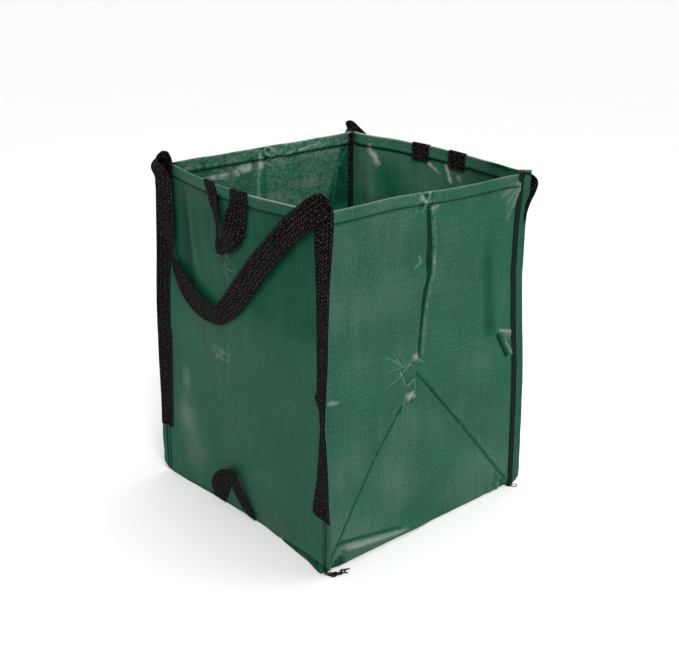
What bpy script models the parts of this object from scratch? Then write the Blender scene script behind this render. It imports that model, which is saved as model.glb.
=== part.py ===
"""A self-standing yard waste bag of coated woven cloth, 508 mm square and 711 mm tall, with black webbing handles.

Metres, +Z up. The origin is on the floor under the middle of the bag. The front side is at -Y and the back side is
the same side turned half way round. The front and back carry the handles. The left and right sides are gussets,
creased down the middle, which fold inwards when the bag is put away.
"""

import math

import bmesh
import bpy
from mathutils import Matrix, Vector

# Units
MM = 0.001

# Size of the bag at half its height
BAG_WIDTH = 508 * MM
BAG_DEPTH = 508 * MM
BAG_HEIGHT = 711 * MM
# Each side stands this much further out at the base, and this much further in at the rim
FLARE = 7.5 * MM
# The middle of the front and back rims bows out by this much
MOUTH_BOW = 25 * MM
# Share of that bow left at each share of the height, from base to rim
BOW_HEIGHT_SHARES = ((0.0, 0.0), (0.25, 0.12), (0.5, 0.38), (0.75, 0.72), (1.0, 1.0))
# The bow ends at this share of the half width, where the corner webbing holds the cloth flat
BOW_END_SHARE = 0.9
# Columns of the front and back cloth, as shares of the half width
PANEL_COLUMNS = [-1] + [BOW_END_SHARE * step / 7 for step in range(-7, 8)] + [1]


# Cloth, webbing and thread
CLOTH = 1.2 * MM
WEBBING_WIDTH = 48 * MM
WEBBING = 2.0 * MM
THREAD = 1.4 * MM
# Clearance between pieces that touch on the real bag
GAP = 0.3 * MM

# Rim hem: the cloth turns inwards round this radius and hangs down inside
HEM_HEIGHT = 27 * MM
HEM_TURN_RADIUS = 1.3 * MM
HEM_TURN_STEPS = 3
# The hem's inner layer stops this far from each corner and from each crease
HEM_END = 9 * MM

# Corner seams: the sewn edges of two sides stand out as a fin
FIN_WIDTH = 20 * MM
FIN_ANGLE = math.radians(10)
SEAM_ROW_FROM_CORNER = 4 * MM
SEAM_ROW_SPACING = 6 * MM
# The row of thread along the hem lies this far above the hem's lower edge
HEM_ROW_RISE = 3 * MM
# It stops this far from a corner, from a crease and from webbing, and steps over webbing this far from its edge
ROW_END = 3 * MM
ROW_RISE_END = 1.4 * MM

# Sides: the front stands on the bottom cloth, and the sides that fold hang clear of it
FRONT_BASE = 1.5 * MM
FOLDING_BASE = 4.5 * MM
# The bottom cloth stops this far inside the outer faces of the sides
BOTTOM_INSET = 2 * MM

# Gussets: pushed in along the middle crease, most of all at the point where the lower creases meet
CREASE_DENT = 6 * MM
RIM_DENT = 2 * MM
CREASE_POINT_HEIGHT = 364 * MM

# Fold of the gussets: the corner hinges lie inside the cloth and the crease hinges outside it
CORNER_HINGE_INSET = 4 * MM
CREASE_HINGE_OUTSET = 4 * MM

# Long handles: webbing sewn up both corners, with a free loop that hangs outside
CORNER_WEBBING_START = 110 * MM
HANDLE_RISE = 30 * MM
HANDLE_HINGE_HEIGHT = BAG_HEIGHT + HANDLE_RISE
# How far the middle of the loop hangs clear of the bowed side
HANDLE_HANG_OUT = 9 * MM
HANDLE_TURN_RADIUS = 32 * MM
# The loop's corners, as shares of the half width and of the bag's height, from the right end to the left
HANDLE_CORNER_SHARES = ((0.955, 1.003), (-0.17, 0.587), (-0.955, 0.766))

# Rim loops: short handles sewn over the hem
RIM_LOOP_SPACING = 106 * MM
RIM_TAB_OUTSIDE = 27 * MM
RIM_TAB_INSIDE = 34 * MM
RIM_LOOP_DROP = 125 * MM
# Base loops: short handles sewn into the bottom seam
BASE_LOOP_SPACING = 104 * MM
BASE_LOOP_RISE = 100 * MM
BASE_HINGE_HEIGHT = 5 * MM
BASE_LOOP_OFF_CENTRE = -45 * MM
# A short loop's lowest point lies off centre by this share of its spacing
LOOP_SKEW_SHARE = 0.28
# How far a short loop's middle leans away from the cloth
LOOP_LEAN = 8 * MM
LOOP_SHOULDER_SHARE = 0.31
LOOP_BEND_RADIUS = 25 * MM

# Thread tails on the floor at two bottom corners, as points outwards from the corner in X and in Y
TAIL = 1.6 * MM
FRONT_TAIL_ROUTE = ((3 * MM, 0), (8 * MM, -5 * MM), (14 * MM, -12 * MM), (18 * MM, -20 * MM),
                    (20 * MM, -29 * MM), (19 * MM, -38 * MM), (14 * MM, -45 * MM))
BACK_TAIL_ROUTE = ((4 * MM, 0), (9 * MM, 1 * MM), (15 * MM, 4 * MM), (19 * MM, 8 * MM),
                   (20 * MM, 14 * MM), (16 * MM, 17 * MM), (10 * MM, 16 * MM))

# Middle of sewn webbing, and of a long handle's free loop, in front of the middle of the cloth
WEBBING_OUT = CLOTH / 2 + GAP + WEBBING / 2
HANDLE_OUT = WEBBING_OUT + WEBBING + GAP

CLOTH_GREEN = (0.045, 0.150, 0.095, 1.0)
WEBBING_BLACK = (0.012, 0.010, 0.012, 1.0)
THREAD_BLACK = (0.008, 0.008, 0.009, 1.0)


def start_scene():
    """An empty scene with one collection for the bag."""
    for item in list(bpy.data.objects):
        bpy.data.objects.remove(item)
    collection = bpy.data.collections.new("yard_waste_bag")
    bpy.context.scene.collection.children.link(collection)
    return collection


def finish_of(name, colour, roughness):
    """A material with the given colour and roughness, and no metal in it."""
    material = bpy.data.materials.new(name)
    material.use_nodes = True
    shader = material.node_tree.nodes["Principled BSDF"]
    shader.inputs["Base Color"].default_value = colour
    shader.inputs["Roughness"].default_value = roughness
    shader.inputs["Metallic"].default_value = 0.0
    return material


def half_width(z):
    """Distance from the middle of the bag to its left or right side, at a height."""
    return BAG_WIDTH / 2 + FLARE * (1 - 2 * z / BAG_HEIGHT)


def half_depth(z):
    """Distance from the middle of the bag to its front or back side, at a height."""
    return BAG_DEPTH / 2 + FLARE * (1 - 2 * z / BAG_HEIGHT)


def bow(x, z):
    """How far the front or back side bows out from its flat plane."""
    height_share = min(max(z / BAG_HEIGHT, 0.0), 1.0)
    lower = max(pair for pair in BOW_HEIGHT_SHARES if pair[0] <= height_share)
    upper = min(pair for pair in BOW_HEIGHT_SHARES if pair[0] >= height_share)
    run = upper[0] - lower[0]
    blend = (height_share - lower[0]) / run if run else 0.0
    rise = lower[1] + (upper[1] - lower[1]) * blend
    across = min(abs(x) / (BOW_END_SHARE * half_width(z)), 1.0)
    return MOUTH_BOW * rise * math.cos(across * math.pi / 2)


def dent(y, z):
    """How far a gusset is pushed in. Straight creases run from the deepest point to both bottom corners."""
    from_corner = 1 - min(abs(y) / half_depth(z), 1.0)
    if z < CREASE_POINT_HEIGHT:
        return CREASE_DENT * min(z / CREASE_POINT_HEIGHT, from_corner)
    rise = (z - CREASE_POINT_HEIGHT) / (BAG_HEIGHT - CREASE_POINT_HEIGHT)
    return (CREASE_DENT + (RIM_DENT - CREASE_DENT) * rise) * from_corner


def add_object(name, data, material, turn, parent):
    """Links a named piece, turned about Z for its side of the bag, and keeps its place under its parent."""
    piece = bpy.data.objects.new(name, data)
    data.materials.append(material)
    COLLECTION.objects.link(piece)
    piece.rotation_euler = (0, 0, turn)
    if parent:
        bpy.context.view_layer.update()
        piece.parent = parent
        piece.matrix_parent_inverse = parent.matrix_world.inverted()
    return piece


def pivot(name, place, way, parent=None):
    """An empty on a joint's axis, its Z along the axis, which carries the pieces that turn about it."""
    empty = bpy.data.objects.new(name, None)
    COLLECTION.objects.link(empty)
    empty.location = place
    empty.rotation_euler = Vector(way).to_track_quat("Z", "Y").to_euler()
    if parent:
        bpy.context.view_layer.update()
        empty.parent = parent
        empty.matrix_parent_inverse = parent.matrix_world.inverted()
    return empty


def sheet(name, columns, rows, place, thickness, material, turn=0.0, parent=None):
    """A thin closed sheet. place(column, row) gives the middle surface, and Solidify thickens it to both sides."""
    mesh = bpy.data.meshes.new(name)
    grid = bmesh.new()
    bmesh.ops.create_grid(grid, x_segments=len(columns) - 1, y_segments=len(rows) - 1, size=1)
    for vertex in grid.verts:
        column = round((vertex.co.x + 1) / 2 * (len(columns) - 1))
        row = round((vertex.co.y + 1) / 2 * (len(rows) - 1))
        vertex.co = place(columns[column], rows[row])
    bmesh.ops.recalc_face_normals(grid, faces=grid.faces)
    grid.to_mesh(mesh)
    grid.free()
    mesh.shade_smooth()
    piece = add_object(name, mesh, material, turn, parent)
    solidify = piece.modifiers.new("Thickness", "SOLIDIFY")
    solidify.thickness = thickness
    solidify.offset = 0
    solidify.use_even_offset = True
    return piece


def thread(name, points, thickness, material, turn=0.0, parent=None):
    """Thread as a round line through the points."""
    curve = bpy.data.curves.new(name, "CURVE")
    curve.dimensions = "3D"
    curve.bevel_depth = thickness / 2
    curve.bevel_resolution = 2
    curve.use_fill_caps = True
    run = curve.splines.new("POLY")
    run.points.add(len(points) - 1)
    for point, place in zip(run.points, points):
        point.co = (*place, 1)
    return add_object(name, curve, material, turn, parent)


def even_steps(start, end, count):
    """count + 1 values from start to end."""
    return [start + (end - start) * step / count for step in range(count + 1)]


def bow_heights(start):
    """The heights above a start at which the bow changes slope."""
    return [share * BAG_HEIGHT for share, _ in BOW_HEIGHT_SHARES if share * BAG_HEIGHT > start]


def hemmed_rows(heights):
    """Rows up the cloth at the heights and then round the hem, as pairs of height and distance inwards."""
    turn_start = BAG_HEIGHT - CLOTH / 2 - HEM_TURN_RADIUS
    rows = [(z, 0.0) for z in heights] + [(BAG_HEIGHT - HEM_HEIGHT, 0.0)]
    for angle in even_steps(0, math.pi, HEM_TURN_STEPS):
        rows.append((turn_start + HEM_TURN_RADIUS * math.sin(angle), HEM_TURN_RADIUS * (1 - math.cos(angle))))
    rows.append((BAG_HEIGHT - HEM_HEIGHT, 2 * HEM_TURN_RADIUS))
    return rows


def front_spot(x, z, outwards):
    """A point in front of the front side's middle surface."""
    return Vector((x, -half_depth(z) - bow(x, z) - outwards, z))


def side_panel(name, material, base, turn, parent):
    """The front or back cloth, bowed out at the mouth, with its hem."""

    def place(share, row):
        z, inwards = row
        end = half_width(z) - HEM_END if inwards > 0 else half_width(z) + CLOTH / 2
        x = min(max(share * (half_width(z) + CLOTH / 2), -end), end)
        return front_spot(x, z, -inwards)

    rows = hemmed_rows([base] + bow_heights(base)[:-1])
    return sheet(name, PANEL_COLUMNS, rows, place, CLOTH, material, turn, parent)


def gusset_half(name, material, front, turn, parent):
    """Half of a side gusset, from a corner to the crease in the middle. front is 1 for the half at the front."""

    def place(share, row):
        z, inwards = row
        end_in = HEM_END if inwards > 0 else 0
        inner = GAP + end_in
        outer = half_depth(z) - CLOTH / 2 - GAP - end_in
        y = inner + (outer - inner) * share
        return Vector((half_width(z) - dent(y, z) - inwards, -front * y, z))

    heights = even_steps(FOLDING_BASE, CREASE_POINT_HEIGHT, 4)
    heights.append((CREASE_POINT_HEIGHT + BAG_HEIGHT - HEM_HEIGHT) / 2)
    return sheet(name, even_steps(0, 1, 4), hemmed_rows(heights), place, CLOTH, material, turn, parent)


def fin_spot(side, z, outwards, forwards):
    """A point on a corner fin of the front: outwards along the fin, and forwards from its front cloth."""
    along = Vector((math.cos(FIN_ANGLE), -math.sin(FIN_ANGLE), 0))
    facing = Vector((-math.sin(FIN_ANGLE), -math.cos(FIN_ANGLE), 0))
    start = Vector((half_width(z) + CLOTH / 2 + GAP, -half_depth(z), z))
    spot = start + along * outwards + facing * forwards
    spot.x *= side
    return spot


def corner_seam(name, material, side, turn, parent):
    """The sewn edges of a side and a gusset, standing out from the corner as a fin two cloths thick."""

    def place(outwards, z):
        return fin_spot(side, z, outwards, -CLOTH / 2)

    rows = even_steps(FOLDING_BASE, BAG_HEIGHT, 5)
    return sheet(name, even_steps(GAP, FIN_WIDTH, 2), rows, place, 2 * CLOTH, material, turn, parent)


def corner_thread(name, material, side, turn, parent):
    """Seam thread on the gusset's side of a fin: down one row, across, and back up the next."""
    behind = -(1.5 * CLOTH + GAP + THREAD / 2)
    heights = even_steps(BAG_HEIGHT - THREAD, FOLDING_BASE + THREAD, 5)
    next_row = SEAM_ROW_FROM_CORNER + SEAM_ROW_SPACING
    points = [fin_spot(side, z, SEAM_ROW_FROM_CORNER, behind) for z in heights]
    points += [fin_spot(side, z, next_row, behind) for z in reversed(heights)]
    return thread(name, points, THREAD, material, turn, parent)


def corner_webbing(name, material, side, turn, parent):
    """Webbing sewn up a corner, half on the side and half on the fin, standing up above the rim."""
    half = WEBBING_WIDTH / 2
    forwards = CLOTH / 2 + GAP + WEBBING / 2

    def place(across, z):
        if across > 0:
            return fin_spot(side, z, across, forwards)
        return front_spot(side * (half_width(z) + across), z, forwards)

    rows = [CORNER_WEBBING_START] + bow_heights(CORNER_WEBBING_START) + [HANDLE_HINGE_HEIGHT - WEBBING]
    return sheet(name, (-half, -half / 2, CLOTH, half / 2, half), rows, place, WEBBING, material, turn, parent)


def rounded_path(corners, radius, steps):
    """Points of a flat path of straight runs, with each inner corner rounded to a radius."""
    corners = [Vector(corner) for corner in corners]
    points = [corners[0]]
    for before, corner, after in zip(corners, corners[1:], corners[2:]):
        arrive = (corner - before).normalized()
        leave = (after - corner).normalized()
        turn = arrive.angle(leave)
        centre = corner + (leave - arrive).normalized() * radius / math.cos(turn / 2)
        arm = corner - arrive * radius * math.tan(turn / 2) - centre
        spin = math.copysign(turn, arrive.cross(leave))
        for angle in even_steps(0, spin, steps):
            cosine, sine = math.cos(angle), math.sin(angle)
            points.append(centre + Vector((arm.x * cosine - arm.y * sine, arm.x * sine + arm.y * cosine)))
    return points + [corners[-1]]


def ribbon_rows(points):
    """Each point of a flat path with its share of the way along and its direction across, level at both ends."""
    last = len(points) - 1
    rows = []
    for index, point in enumerate(points):
        along = (points[min(index + 1, last)] - points[max(index - 1, 0)]).normalized()
        across = Vector((-along.y, along.x))
        if index in (0, last):
            across = Vector((math.copysign(1, across.x), 0))
        rows.append((index / last, point, across))
    return rows


def long_handle(name, material, turn, parent):
    """The free loop of a long handle: it leaves the tops of both corners and hangs in a V outside the bag."""
    top = HANDLE_HINGE_HEIGHT
    half = WEBBING_WIDTH / 2
    bends = [(x_share * half_width(top), z_share * BAG_HEIGHT) for x_share, z_share in HANDLE_CORNER_SHARES]
    path = rounded_path([(half_width(top), top), *bends, (-half_width(top), top)], HANDLE_TURN_RADIUS, 3)

    def place(across, row):
        share, point, way = row
        x, z = point + way * across
        z = min(z, top)
        over_fin = max(abs(x) - half_width(z), 0) * math.tan(FIN_ANGLE)
        hang = HANDLE_HANG_OUT * math.sin(math.pi * share)
        return front_spot(x, z, HANDLE_OUT + over_fin + hang)

    return sheet(name, (-half, 0, half), ribbon_rows(path), place, WEBBING, material, turn, parent)


def short_loop(name, material, centre, spacing, hinge_z, reach, turn, parent):
    """A short webbing loop from a seam to a rounded point, which lies below the seam, or above it."""
    half = WEBBING_WIDTH / 2
    tip = (centre - LOOP_SKEW_SHARE * spacing, hinge_z + reach - math.copysign(half, reach))
    shoulder = hinge_z + reach * LOOP_SHOULDER_SHARE
    right, left = centre + spacing / 2, centre - spacing / 2
    corners = [(right, hinge_z), (right, shoulder), tip, (left, shoulder), (left, hinge_z)]

    def place(across, row):
        share, point, way = row
        x, z = point + way * across
        z = max(z, hinge_z) if reach > 0 else min(z, hinge_z)
        return front_spot(x, z, WEBBING_OUT + LOOP_LEAN * math.sin(math.pi * share))

    rows = ribbon_rows(rounded_path(corners, LOOP_BEND_RADIUS, 2))
    return sheet(name, (-half, half), rows, place, WEBBING, material, turn, parent)


def rim_tab(name, material, side, turn, parent):
    """The end of a rim loop, folded over the hem and sewn down on both sides of it."""
    half = WEBBING_WIDTH / 2
    radius = HEM_TURN_RADIUS + WEBBING_OUT
    turn_start = BAG_HEIGHT - CLOTH / 2 - HEM_TURN_RADIUS
    rows = [(BAG_HEIGHT - RIM_TAB_OUTSIDE, -WEBBING_OUT)]
    for angle in even_steps(0, math.pi, 2 * HEM_TURN_STEPS):
        rows.append((turn_start + radius * math.sin(angle), HEM_TURN_RADIUS - radius * math.cos(angle)))
    rows.append((BAG_HEIGHT - RIM_TAB_INSIDE, HEM_TURN_RADIUS + radius))

    def place(across, row):
        z, inwards = row
        x = side * RIM_LOOP_SPACING / 2 + across
        return front_spot(x, min(z, BAG_HEIGHT), -inwards) + Vector((0, 0, max(z - BAG_HEIGHT, 0)))

    return sheet(name, (-half, 0, half), rows, place, WEBBING, material, turn, parent)


def hem_thread(name, material, turn, parent):
    """The row of thread along the hem of the front or back, which passes over both rim tabs."""
    on_cloth = CLOTH / 2 + GAP + THREAD / 2
    on_tab = on_cloth + WEBBING + GAP
    z = BAG_HEIGHT - HEM_HEIGHT + HEM_ROW_RISE
    tab_inner = (RIM_LOOP_SPACING - WEBBING_WIDTH) / 2 - ROW_RISE_END
    tab_outer = (RIM_LOOP_SPACING + WEBBING_WIDTH) / 2 + ROW_RISE_END
    row_end = half_width(z) - WEBBING_WIDTH / 2 - ROW_END
    half_row = [(tab_inner - THREAD, on_cloth), (tab_inner, on_tab), (tab_outer, on_tab),
                (tab_outer + THREAD, on_cloth), (row_end, on_cloth)]
    for share in PANEL_COLUMNS:
        x = share * half_width(z)
        if 0 < x < row_end:
            half_row.append((x, on_tab if tab_inner < x < tab_outer else on_cloth))
    half_row.sort()
    points = [(-x, out) for x, out in reversed(half_row)] + [(0, on_cloth)] + half_row
    return thread(name, [front_spot(x, z, out) for x, out in points], THREAD, material, turn, parent)


def gusset_thread(name, material, front, turn, parent):
    """The row of thread along the hem of a gusset half."""
    out = CLOTH / 2 + GAP + THREAD / 2
    z = BAG_HEIGHT - HEM_HEIGHT + HEM_ROW_RISE
    depths = even_steps(ROW_END, half_depth(z) - ROW_END, 3)
    points = [Vector((half_width(z) - dent(y, z) + out, -front * y, z)) for y in depths]
    return thread(name, points, THREAD, material, turn, parent)


def thread_tail(name, material, back, route, parent=None):
    """A loose end of thread from under a right-hand corner seam to the floor. back is 1 behind and -1 in front."""
    corner = half_width(0)
    start_z = FOLDING_BASE - GAP - TAIL / 2
    points = [Vector((corner + x, back * (corner + y), TAIL / 2 if index else start_z))
              for index, (x, y) in enumerate(route)]
    return thread(name, points, TAIL, material, 0.0, parent)


def hinge_line(x, y):
    """A place on the floor, and the way up from it along a hinge. All hinge lines meet at one point high above."""
    meet = BAG_HEIGHT * (half_width(0) - CORNER_HINGE_INSET) / (2 * FLARE)
    return Vector((x, y, 0)), Vector((-x, -y, meet)).normalized()


def build_unit(side_word, base, turn, parent, cloth, webbing, sewing):
    """The front of the bag, or the back: the same pieces turned half way round."""
    side_panel(f"{side_word}_panel", cloth, base, turn, parent)
    hem_thread(f"{side_word}_hem_thread", sewing, turn, parent)
    for side in (1, -1):
        hand = "right" if side * math.cos(turn) > 0 else "left"
        corner_seam(f"{side_word}_{hand}_corner_seam", cloth, side, turn, parent)
        corner_thread(f"{side_word}_{hand}_corner_thread", sewing, side, turn, parent)
        corner_webbing(f"{side_word}_{hand}_corner_webbing", webbing, side, turn, parent)
        rim_tab(f"{side_word}_{hand}_rim_tab", webbing, side, turn, parent)

    spin = Matrix.Rotation(turn, 4, "Z")
    across = spin @ Vector((1, 0, 0))

    def swing(word, x, z, out):
        return pivot(f"{side_word}_{word}_hinge", spin @ front_spot(x, z, out), across, parent)

    top_out = CLOTH / 2 + GAP + WEBBING + GAP / 2
    corner_top = Vector((0, -half_depth(HANDLE_HINGE_HEIGHT) - top_out, HANDLE_HINGE_HEIGHT))
    handle_hinge = pivot(f"{side_word}_handle_hinge", spin @ corner_top, across, parent)
    long_handle(f"{side_word}_long_handle", webbing, turn, handle_hinge)

    rim_z = BAG_HEIGHT - RIM_TAB_OUTSIDE - GAP
    rim_inner = (RIM_LOOP_SPACING - WEBBING_WIDTH) / 2
    rim_hinge = swing("rim_loop", rim_inner, rim_z, WEBBING_OUT + WEBBING / 2 + GAP)
    short_loop(f"{side_word}_rim_loop", webbing, 0, RIM_LOOP_SPACING, rim_z, -RIM_LOOP_DROP, turn, rim_hinge)

    base_hinge = swing("base_loop", BASE_LOOP_OFF_CENTRE, BASE_HINGE_HEIGHT, WEBBING_OUT)
    short_loop(f"{side_word}_base_loop", webbing, BASE_LOOP_OFF_CENTRE, BASE_LOOP_SPACING, BASE_HINGE_HEIGHT,
               BASE_LOOP_RISE, turn, base_hinge)


COLLECTION = start_scene()
CLOTH_FINISH = finish_of("green_cloth", CLOTH_GREEN, 0.42)
WEBBING_FINISH = finish_of("black_webbing", WEBBING_BLACK, 0.7)
THREAD_FINISH = finish_of("black_thread", THREAD_BLACK, 0.65)

# Bottom cloth
bottom_half = half_width(0) + CLOTH / 2 - BOTTOM_INSET
sheet("bottom_panel", even_steps(-bottom_half, bottom_half, 2), even_steps(-bottom_half, bottom_half, 2),
      lambda x, y: Vector((x, y, CLOTH / 2)), CLOTH, CLOTH_FINISH)

# Front
build_unit("front", FRONT_BASE, 0.0, None, CLOTH_FINISH, WEBBING_FINISH, THREAD_FINISH)

# Gussets, each half on its own hinge, and the back on the far hinge of the right gusset
corner_x = half_width(0) - CORNER_HINGE_INSET
crease_x = half_width(0) + CREASE_HINGE_OUTSET
for hand, sign in (("right", 1), ("left", -1)):
    front_hinge = pivot(f"{hand}_gusset_front_hinge", *hinge_line(sign * corner_x, -corner_x))
    crease_hinge = pivot(f"{hand}_gusset_crease_hinge", *hinge_line(sign * crease_x, 0), front_hinge)
    gusset_turn = 0.0 if sign > 0 else math.pi
    for word, front, carrier in (("front", 1, front_hinge), ("back", -1, crease_hinge)):
        name = f"{hand}_gusset_{word}_half"
        gusset_half(name, CLOTH_FINISH, sign * front, gusset_turn, carrier)
        gusset_thread(f"{hand}_gusset_{word}_hem_thread", THREAD_FINISH, sign * front, gusset_turn, carrier)
    if sign > 0:
        back_hinge = pivot("back_hinge", *hinge_line(corner_x, corner_x), crease_hinge)

build_unit("back", FOLDING_BASE, math.pi, back_hinge, CLOTH_FINISH, WEBBING_FINISH, THREAD_FINISH)

# Loose thread tails
thread_tail("front_thread_tail", THREAD_FINISH, -1, FRONT_TAIL_ROUTE)
thread_tail("back_thread_tail", THREAD_FINISH, 1, BACK_TAIL_ROUTE, back_hinge)
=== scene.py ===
# %% [markdown]
# # A pop up leaf bag
# The bag is a square, open-topped sack of green coated cloth, which is woven from flat plastic tapes. Its rim is
# hemmed, its corners are sewn into standing fins, and black herringbone webbing makes its handles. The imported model
# already has every piece at its place as a plain solid. This lesson dresses each of them, in the same frame.

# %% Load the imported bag
import math

import bmesh
import bpy
import numpy as np
from mathutils import Matrix, Vector, noise


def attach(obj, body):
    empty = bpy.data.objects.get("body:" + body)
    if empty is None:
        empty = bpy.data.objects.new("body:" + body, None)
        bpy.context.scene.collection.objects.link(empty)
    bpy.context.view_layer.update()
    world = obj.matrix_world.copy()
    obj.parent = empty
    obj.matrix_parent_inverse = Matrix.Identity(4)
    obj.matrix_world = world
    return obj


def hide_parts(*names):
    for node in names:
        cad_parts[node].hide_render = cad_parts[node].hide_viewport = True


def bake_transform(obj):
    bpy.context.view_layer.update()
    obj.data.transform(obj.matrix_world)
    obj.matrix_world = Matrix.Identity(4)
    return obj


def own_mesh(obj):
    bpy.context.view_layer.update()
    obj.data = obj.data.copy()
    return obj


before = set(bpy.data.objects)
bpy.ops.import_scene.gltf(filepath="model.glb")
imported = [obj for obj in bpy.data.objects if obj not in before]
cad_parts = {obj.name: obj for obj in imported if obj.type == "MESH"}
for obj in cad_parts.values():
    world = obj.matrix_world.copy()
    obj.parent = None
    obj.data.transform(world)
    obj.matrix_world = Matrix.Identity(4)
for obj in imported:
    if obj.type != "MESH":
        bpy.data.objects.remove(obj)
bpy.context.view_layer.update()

MM = 0.001

# %% [markdown]
# ## The camera
# The picture was taken from the corner between the front and the right gusset, from a little above the rim. A camera
# at that place with the same angle of view lets every piece be compared with the picture. It could be placed by eye,
# but it was worked out from the bag's known corners, which leaves nothing to tune.

# %% Camera
CAMERA_PLACE = (1.556, -1.309, 1.186)
CAMERA_AZIMUTH = 49.96
CAMERA_ELEVATION = 22.45
LENS_MM = 54.88
SENSOR_MM = 36


def way_out(azimuth, elevation):
    """The way from the bag towards an azimuth and an elevation in degrees."""
    turn, rise = math.radians(azimuth), math.radians(elevation)
    return Vector((math.sin(turn) * math.cos(rise), -math.cos(turn) * math.cos(rise), math.sin(rise)))


def aimed(name, data, place, way):
    """A camera or light at a place, level, which points that way."""
    made = bpy.data.objects.new(name, data)
    bpy.context.scene.collection.objects.link(made)
    made.location = place
    made.rotation_euler = way.to_track_quat("-Z", "Y").to_euler()
    return made


def photo_camera():
    """The camera of the picture, looking down at the near corner."""
    data = bpy.data.cameras.new("photo_camera")
    data.lens = LENS_MM
    data.sensor_width = SENSOR_MM
    camera = aimed("photo_camera", data, CAMERA_PLACE, -way_out(CAMERA_AZIMUTH, CAMERA_ELEVATION))
    bpy.context.scene.camera = camera
    return camera


print("camera at", tuple(round(c, 3) for c in photo_camera().location))

# %% [markdown]
# ## The shape that everything lies on
# The sides lean in a little towards the rim, and the front and back bow out at the mouth. Every strap, stitch and
# hem is placed by its height and its distance from the cloth, so these few functions carry the whole bag. The back
# is the front turned half way round, and the left gusset is the right one turned half way round. Last of all, each
# sheet and seam is moved a little at two corners, which aren't quite square in the picture.

# %% Sides, bow and dent
HALF_SIDE = 254 * MM
FLARE = 7.5 * MM
HEIGHT = 711 * MM
MOUTH_BOW = 25 * MM
BOW_END_SHARE = 0.9
BOW_SHARES = (0.0933, 1.76, -0.8533)
FOOT_TOP = 110 * MM
FOOT_PLACES = np.array((-200, -156, -79, -3, 54, 101, 184, 250)) * MM
FOOT_DRAWN_IN = np.array((0, 1, 6, 10, 12, 11, 5, 0)) * MM
FRONT_BASE = 1.5 * MM
OTHER_BASE = 4.5 * MM
CREASE_HEIGHT = 364 * MM
CREASE_DENT = 6 * MM
RIM_DENT = 2 * MM
HALF_TURN = (-1, -1, 1)
NO_TURN = (1, 1, 1)
SIDES = (("front", -1), ("back", 1))
GUSSETS = (("right", 1), ("left", -1))
SEEDS = {"front": 3.0, "back": 11.0, "right": 21.0, "left": 33.0}


def half_side(z):
    """Distance from the middle of the bag to any side, at a height."""
    return HALF_SIDE + FLARE * (1 - 2 * z / HEIGHT)


def bow(x, z):
    """How far the front bows out at a place. It grows towards the rim, and the foot is drawn in a little."""
    share = np.clip(z / HEIGHT, 0, 1)
    rise = sum(part * share ** power for power, part in enumerate(BOW_SHARES, 1))
    across = np.minimum(np.abs(x) / (BOW_END_SHARE * half_side(z)), 1)
    foot = np.interp(x, FOOT_PLACES, FOOT_DRAWN_IN) * np.clip(1 - z / FOOT_TOP, 0, 1) ** 1.5
    return MOUTH_BOW * rise * np.cos(across * math.pi / 2) - foot


def dent(y, z):
    """How far a gusset is pushed in at a place."""
    from_corner = 1 - np.minimum(np.abs(y) / half_side(z), 1)
    rise = np.clip((z - CREASE_HEIGHT) / (HEIGHT - CREASE_HEIGHT), 0, 1)
    above = (CREASE_DENT + (RIM_DENT - CREASE_DENT) * rise) * from_corner
    below = CREASE_DENT * np.minimum(z / CREASE_HEIGHT, from_corner)
    return np.where(z < CREASE_HEIGHT, below, above)


def front_spot(x, z, out):
    """A place on the front, that far out from the middle of its smooth cloth."""
    return Vector((x, -float(half_side(z) + bow(x, z)) - out, z))


SPREAD_HEIGHTS = (0, 0.10, 0.20, 0.30, 0.40, 0.50, 0.60, 0.711)
SPREAD_LEFT = np.array((9, 7, 6, 6, 6, 5, 3, 1)) * MM
SPREAD_FORWARD = np.array((11, 14, 13.5, 13.5, 13.5, 10, 6, 2.5)) * MM
SPREAD_BACK = np.array((3, 3.5, 4, 3, -0.5, -3, -1, 5)) * MM


def spread_corner(places):
    """Moves two corners: the front left one stands wider in the picture, and the back right one is a little bent."""
    x, y, z = np.asarray(places, float).T
    left, forward, back = (np.interp(z, SPREAD_HEIGHTS, much) for much in (SPREAD_LEFT, SPREAD_FORWARD, SPREAD_BACK))
    near_front = np.clip(-x / HALF_SIDE, 0, 1) ** 2 * np.clip(-y / HALF_SIDE, 0, 1) ** 1.5
    back = back * np.clip(x / HALF_SIDE, 0, 1) ** 2 * np.clip(y / HALF_SIDE, 0, 1) ** 2
    return np.column_stack([x - near_front * left + back, y - near_front * forward + back, z])


print("side at the base", half_side(0), "and at the rim", round(half_side(HEIGHT), 4))

# %% [markdown]
# ## Finishes made of nodes
# Each finish is worked out by shader nodes, with no image. These helpers add a node with its sockets filled, do sums,
# make cloudy noise, fade between two limits and mix two colours.

# %% Node helpers


def add_node(tree, kind, sockets=None, **settings):
    """A node with its settings, and its sockets filled with numbers or links."""
    made = tree.nodes.new(kind)
    for key, value in settings.items():
        setattr(made, key, value)
    for key, value in (sockets or {}).items():
        if isinstance(value, bpy.types.NodeSocket):
            tree.links.new(value, made.inputs[key])
        else:
            made.inputs[key].default_value = value
    return made


def tree_of(*values):
    """The node tree that the links among the values are in."""
    return next(value.id_data for value in values if isinstance(value, bpy.types.NodeSocket))


def calc(operation, *values):
    """The result of a math node on numbers or links."""
    return add_node(tree_of(*values), "ShaderNodeMath", dict(enumerate(values)), operation=operation).outputs[0]


def plus(*values):
    """The sum of two values."""
    return calc("ADD", *values)


def times(*values):
    """The product of two values."""
    return calc("MULTIPLY", *values)


def humps(value):
    """A row of round humps, one for each whole number of the value."""
    return calc("ABSOLUTE", calc("SINE", times(value, math.pi)))


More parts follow.
